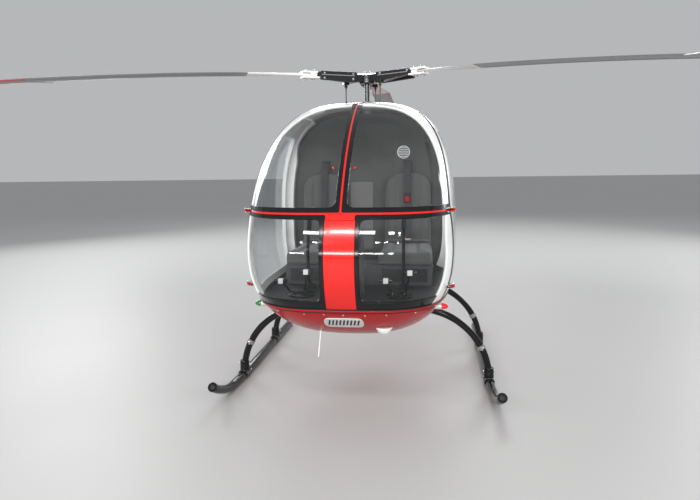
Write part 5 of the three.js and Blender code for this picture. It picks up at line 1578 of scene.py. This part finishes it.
cushion_front, cushion_rear, cushion_top = mast_y - 0.76, wall_y - 0.156, 1.03
channel_xs = (-0.085, 0.0, 0.085)
cushion_profile = rounded_line([(cushion_front + 0.008, 0.9325, 0.02),
                                (cushion_rear - 0.004, 0.9325, 0.012),
                                (cushion_rear - 0.004, cushion_top - 0.012, 0.03),
                                (cushion_front + 0.008, cushion_top - 0.012, 0.05)],
                               closed=True, step=0.012)
cushion_mesh = filled_cover("cushion_cover", [extruded(cushion_profile, 0, -0.176, 0.176)],
                            channel_xs, 0, 2, 1, 0.011)
back_half, back_round, back_foot, back_top = 0.17, 0.11, 0.934, 1.536


def seat_back_foam():
    """Rings up the back: the depth at each height, the width from the front outline."""
    rings = []
    turns = np.linspace(0, 2 * math.pi, 64, endpoint=False)
    for z in np.concatenate([np.linspace(back_foot, 1.42, 24), np.linspace(1.43, back_top, 14)]):
        lift = (z - back_foot) / (back_top - back_foot)
        front, rear = wall_y - 0.147 + 0.075 * lift, wall_y - 0.024 + 0.018 * lift
        drop = max(z - (back_top - back_round), 0) / back_round
        half = back_half - back_round + back_round * math.sqrt(max(1 - drop ** 2, 1e-4))
        depth = (rear - front) * (1 - 0.25 * drop ** 4)
        across = half * np.sign(np.cos(turns)) * np.abs(np.cos(turns)) ** 0.28
        along = (front + rear) / 2 + depth / 2 * np.sign(np.sin(turns)) * np.abs(np.sin(turns)) ** 0.35
        rings.append(np.c_[across, along, np.full(64, z)])
    return lofted(rings)


back_mesh = filled_cover("back_cover", [seat_back_foam()], channel_xs, 0, 1, -1, 0.01)
for side, name in left_right:
    padded_piece(f"cushion_cover_{name}", cushion_mesh, (side * seat_x, 0, 0), f"seat_cushion_{name}")
    padded_piece(f"back_cover_{name}", back_mesh, (side * seat_x, 0, 0), f"seat_back_{name}")

# Seat belts. Flat black webbing from the bulkhead over each back and across each cushion,
# with a bright buckle on each lap, black anchors, and a black buckle that hangs on the left.


def webbing(path, ways, width=0.045, thick=0.0022):
    """A flat band along a path; ways point out of its face."""
    path, ways = np.asarray(path, float), np.asarray(ways, float)
    along = np.gradient(path, axis=0)
    across = np.cross(along, ways)
    across /= np.linalg.norm(across, axis=1)[:, None]
    out = np.cross(across, along)
    out /= np.linalg.norm(out, axis=1)[:, None]
    corners = ((-1, -1), (-0.5, -1), (0, -1), (0.5, -1), (1, -1), (1, 1), (0.5, 1), (0, 1), (-0.5, 1),
               (-1, 1))
    rings = [[p + a * width / 2 * s + o * thick / 2 * t for s, t in corners]
             for p, a, o in zip(path, across, out)]
    return lofted([np.array(ring) for ring in rings])


belt_cloth = lining("belt_webbing_cloth", (0.055, 0.056, 0.058), 1400.0, 0.7)
belts, anchors, fittings = [], [], []
for side in (1, -1):
    x = side * seat_x
    # Columns: distance from the seat's middle, station, z, and the way its face looks.
    shoulder = [(0.0, wall_y - 0.012, 1.625, 0, -1, 0.1), (0.0, wall_y - 0.04, 1.572, 0, -0.5, 0.9),
                (0.0, wall_y - 0.094, 1.52, 0, -0.95, 0.4), (0.0, wall_y - 0.116, 1.4, 0, -1, 0.1),
                (0.0, wall_y - 0.14, 1.22, 0, -1, 0.1), (0.0, wall_y - 0.166, 1.075, 0, -0.8, 0.6),
                (side * 0.02, wall_y - 0.215, 1.046, 0, 0, 1)]
    lap = [(-0.19, wall_y - 0.175, 1.0, -0.8, 0, 0.6), (-0.16, wall_y - 0.2, 1.04, -0.4, 0, 0.9),
           (-0.08, wall_y - 0.225, 1.047, 0, 0, 1), (0.0, wall_y - 0.235, 1.049, 0, 0, 1),
           (0.08, wall_y - 0.225, 1.047, 0, 0, 1), (0.16, wall_y - 0.2, 1.04, 0.4, 0, 0.9),
           (0.19, wall_y - 0.175, 1.0, 0.8, 0, 0.6)]
    for route in (shoulder, lap):
        route = np.array(route)
        share = np.arange(len(route), dtype=float)
        fine = through(np.c_[share, route], np.linspace(0, len(route) - 1, 60))
        belts.append(webbing(fine[:, :3] + (x, 0, 0), fine[:, 3:]))
    fittings.append(block((x - 0.03, wall_y - 0.268, 1.048), (x + 0.03, wall_y - 0.206, 1.064)))
    anchors.append(block((x - 0.028, wall_y - 0.014, 1.612), (x + 0.028, wall_y - 0.001, 1.64)))
hung = np.array((seat_x - 0.002, wall_y - 0.121, 1.358))
anchors.append(block(hung + (-0.025, -0.012, -0.036), hung + (0.025, 0.004, 0.036)))
made("belt_webbing", belts, belt_cloth, smooth_to=60)
made("belt_anchors", anchors, head_black, bevel=0.003)
made("belt_buckles", fittings, bright_steel, bevel=0.003)
buttons = [block((side * seat_x - 0.016, wall_y - 0.262, 1.0635),
                 (side * seat_x + 0.016, wall_y - 0.236, 1.0665)) for side in (1, -1)]
buttons.append(block(hung + (-0.016, -0.0145, -0.028), hung + (0.016, -0.0115, 0.01)))
made("belt_buttons", buttons, belly_paint, bevel=0.001)

# Instrument console. A narrow moulded pedestal on the middle line with round gauges on
# its sloping face, a row of switches below them and a lid on top.

console_profile = rounded_line([(mast_y - 1.12, floor_top + 0.0003, 0.004),
                                (mast_y - 1.0, floor_top + 0.0003, 0.004), (mast_y - 1.0, 1.08, 0.015),
                                (mast_y - 1.09, 1.175, 0.015), (mast_y - 1.22, 1.175, 0.012),
                                (mast_y - 1.22, 0.92, 0.02)], closed=True, step=0.012)
made("console_pedestal", [extruded(console_profile, 0, -0.08, 0.08)], grey_plastic,
     ["instrument_console"], bevel=0.004)
slope_way = np.array((0, 0.095, 0.09)) / math.hypot(0.095, 0.09)
slope_up = np.array((0, -0.09, 0.095)) / math.hypot(0.095, 0.09)
slope_middle = np.array((0, mast_y - 1.045, 1.1275))
gauges, dials, hands = [], [], []
for x, up, radius, turn in ((-0.04, 0.026, 0.03, 0.6), (0.04, 0.026, 0.03, -0.9),
                            (-0.046, -0.034, 0.019, 2.2), (0.0, -0.034, 0.019, 1.1),
                            (0.046, -0.034, 0.019, -1.9)):
    place = slope_middle + slope_up * up + (x, 0, 0)
    gauges.append(turned([(-0.002, radius), (0.004, radius), (0.0055, radius - 0.002),
                          (0.004, radius - 0.0045), (0.0005, radius - 0.005)], place, slope_way, 32))
    dials.append(turned([(-0.001, radius - 0.004), (0.0012, radius - 0.004)], place, slope_way, 32))
    pivot, hand = place + slope_way * 0.0022, slope_up * math.cos(turn) + (math.sin(turn), 0, 0)
    hands.append(swept([pivot, pivot + hand * (radius - 0.008)], (0.0011, 0.0004), 6))
made("gauge_bezels", gauges, head_black, smooth_to=30)
made("gauge_faces", dials, rubber, slot="black_paint")
made("gauge_hands", hands, gelcoat)
toggles = [(x, mast_y - 1.0 + 0.0002, 1.035) for x in np.linspace(-0.055, 0.055, 6)]
toggle_shape = shape_of("toggle_shape", [turned([(0, 0.0055), (0.0025, 0.0055), (0.003, 0.0035),
                                                 (0.006, 0.0022), (0.014, 0.003), (0.016, 0.0018)],
                                                (0, 0, 0), sides=12)])
hardware("console_toggles", toggle_shape, toggles, (0, 1, 0.2), bright_steel)

# Pedals. At each seat two dark bars with bright blocks, on bent arms over a round foot.

pedal_y, pad_y, pad_half = mast_y - 1.06, mast_y - 1.1, 0.042
pedal_sets = {"left": (0.302, ((0.22, 0.108), (0.37, 0.16))),
              "right": (-0.322, ((-0.45, 0.1), (-0.285, 0.16)))}
for name, (foot_x, pads) in pedal_sets.items():
    foot = turned([(0.0003, 0.087), (0.006, 0.088), (0.011, 0.086), (0.014, 0.08), (0.014, 0.0)],
                  (foot_x, pedal_y, floor_top), (0, 0, 1), 48)
    arms, plates = [foot], []
    for x, height in pads:
        start = np.array((foot_x + (x - foot_x) * 0.5, pedal_y, floor_top + 0.008))
        end = np.array((x, pad_y, floor_top + height))
        middle = (start + end) / 2 + (0, 0.018, 0.004)
        t = np.linspace(0, 1, 16)[:, None]
        arms.append(swept((1 - t) ** 2 * start + 2 * t * (1 - t) * middle + t ** 2 * end, 0.0085, 14))
        arms.append(turned([(0, 0.016), (0.012, 0.015), (0.02, 0.01)], start, (0, 0, 1), 20))
        arms.append(turned([(-pad_half, 0.0105), (-pad_half + 0.003, 0.0125), (pad_half - 0.003, 0.0125),
                            (pad_half, 0.0105)], end, (1, 0, 0), 20))
        plates.append(block(end + (-0.016, -0.0165, -0.0165), end + (0.016, 0.014, 0.0165)))
    made(f"pedal_arms_{name}", arms, gear_black, [f"pedals_{name}"], bevel=0.001)
    made(f"pedal_pads_{name}", plates, gelcoat, bevel=0.004)

# Sticks. A cyclic stick at each seat on a rubber bellows with a moulded grip, and one
# collective lever between the seats on a small cast box.

for side, name in left_right:
    x = side * seat_x
    bellows = [(0.0003, 0.045), (0.006, 0.045)]
    for i in range(5):
        bellows += [(0.009 + i * 0.0065, 0.036 - i * 0.0045), (0.0122 + i * 0.0065, 0.0405 - i * 0.0045)]
    bellows.append((0.045, 0.013))
    tube_path = through([(0, mast_y - 0.83, floor_top + 0.02), (1, mast_y - 0.856, floor_top + 0.135),
                         (2, mast_y - 0.86, floor_top + 0.25), (3, mast_y - 0.834, floor_top + 0.34),
                         (4, mast_y - 0.8, floor_top + 0.402)], np.linspace(0, 4, 40))
    made(f"cyclic_stick_{name}", [swept(np.c_[np.full(40, x), tube_path], 0.0105, 18)], gear_black,
         [f"cyclic_{name}"], smooth_to=50)
    made(f"cyclic_bellows_{name}", [turned(bellows, (x, mast_y - 0.83, floor_top), (0, 0, 1), 36)],
         rubber, smooth_to=50)
    grip_foot, grip_way = np.array((x, mast_y - 0.801, floor_top + 0.395)), (0, 0.015, 0.112)
    grip = [(0.0, 0.0125), (0.006, 0.0165), (0.022, 0.0155), (0.04, 0.0175), (0.058, 0.015),
            (0.076, 0.017), (0.092, 0.018), (0.106, 0.016), (0.113, 0.01), (0.115, 0.0)]
    made(f"cyclic_grip_{name}", [turned(grip, grip_foot, grip_way, 32)], rubber, smooth_to=50)
    made(f"cyclic_button_{name}", [turned([(0, 0.005), (0.004, 0.005), (0.0055, 0.003)],
                                          grip_foot + (0, 0.026, 0.088), (0, 1, 0.2), 16)], bright_paint)
lever_path = through([(0, mast_y - 0.765, floor_top + 0.05), (1, mast_y - 0.835, floor_top + 0.115),
                      (2, mast_y - 0.9, floor_top + 0.19), (3, mast_y - 0.93, floor_top + 0.222)],
                     np.linspace(0, 3, 30))
made("collective_stick", [block((-0.028, mast_y - 0.8, floor_top + 0.0003),
                                (0.028, mast_y - 0.726, floor_top + 0.058)),
                          swept(np.c_[np.zeros(30), lever_path], 0.0115, 18)], gear_black,
     ["collective_lever"], bevel=0.003)
made("collective_grip", [turned([(0, 0.013), (0.006, 0.0175), (0.03, 0.0185), (0.06, 0.0175),
                                 (0.08, 0.019), (0.09, 0.0165), (0.0925, 0.0)],
                                (0, mast_y - 0.897, floor_top + 0.187), (0, -0.065, 0.065), 32)],
     rubber, smooth_to=50)

# Studio. A plain pale floor, rows of strip lights ahead, and soft light from behind, from
# the sides and from the front corners.

floor_mesh = bpy.data.meshes.new("studio_floor")
floor_mesh.from_pydata([(-60, -60, 0), (60, -60, 0), (60, 60, 0), (-60, 60, 0)], [], [(0, 1, 2, 3)])
floor = bpy.data.objects.new("studio_floor", floor_mesh)
bpy.context.collection.objects.link(floor)
floor.data.materials.append(finish("pale_floor", None, (0.41, 0.41, 0.405), 0.5, mottle=0.02,
                                   mottle_scale=0.6))
world = bpy.data.worlds.new("studio_air")
bpy.context.scene.world = world
world.use_nodes = True
air = world.node_tree.nodes["Background"].inputs
air["Color"].default_value, air["Strength"].default_value = (0.8, 0.82, 0.84, 1), 0.58
bpy.context.scene.view_settings.view_transform = "Standard"


def softbox(name, place, aim, size, power):
    light = bpy.data.lights.new(name, "AREA")
    light.shape, light.size, light.size_y, light.energy = "RECTANGLE", *size, power
    lamp = bpy.data.objects.new(name, light)
    bpy.context.collection.objects.link(lamp)
    lamp.location = place
    lamp.rotation_euler = (Vector(aim) - Vector(place)).to_track_quat("-Z", "Y").to_euler()
    return lamp


# Columns: row, station, height, depth of the strip, watts a square metre, spans across.
for row, y, z, depth, strength, spans in (
        ("near", -7.5, 5.5, 0.35, 120, ((-2.25, -1.23), (-1.12, 0.25), (1.36, 2.0), (2.6, 3.0))),
        ("middle", -10.0, 5.6, 0.3, 110, ((-3.35, -3.0), (-2.2, -1.8), (0.35, 0.8),
                                          (1.2, 1.8), (3.35, 3.65))),
        ("far", -13.0, 3.5, 0.6, 120, ((-6.2, -4.9), (-4.6, -3.6), (-2.3, 0.25), (0.4, 1.7), (2.5, 3.6)))):
    for number, (from_x, to_x) in enumerate(spans, 1):
        softbox(f"strip_{row}_{number}", ((from_x + to_x) / 2, y, z),
                ((from_x + to_x) / 2 * 0.3, -2.0, 1.1),
                (to_x - from_x, depth), strength * (to_x - from_x) * depth)
# Columns: name, place, aim, size, power.
for name, place, aim, size, power in (("overhead_rear", (0.0, 9.0, 6.5), (0, 0.0, 1.0), (7.0, 3.0), 420),
        ("side_left", (7.0, 5.0, 4.4), (0, -1.0, 1.0), (3.5, 3.0), 300),
        ("side_right", (-7.0, 5.0, 4.4), (0, -1.0, 1.0), (3.5, 3.0), 330)):
    softbox(name, place, aim, size, power)
for name, side in (("fill_left", 1), ("fill_right", -1)):
    fill = softbox(name, (side * 5.5, -7.5, 3.2), (-side * 0.5, -1.7, 1.5), (3.5, 2.5), 230)
    fill.visible_glossy = False
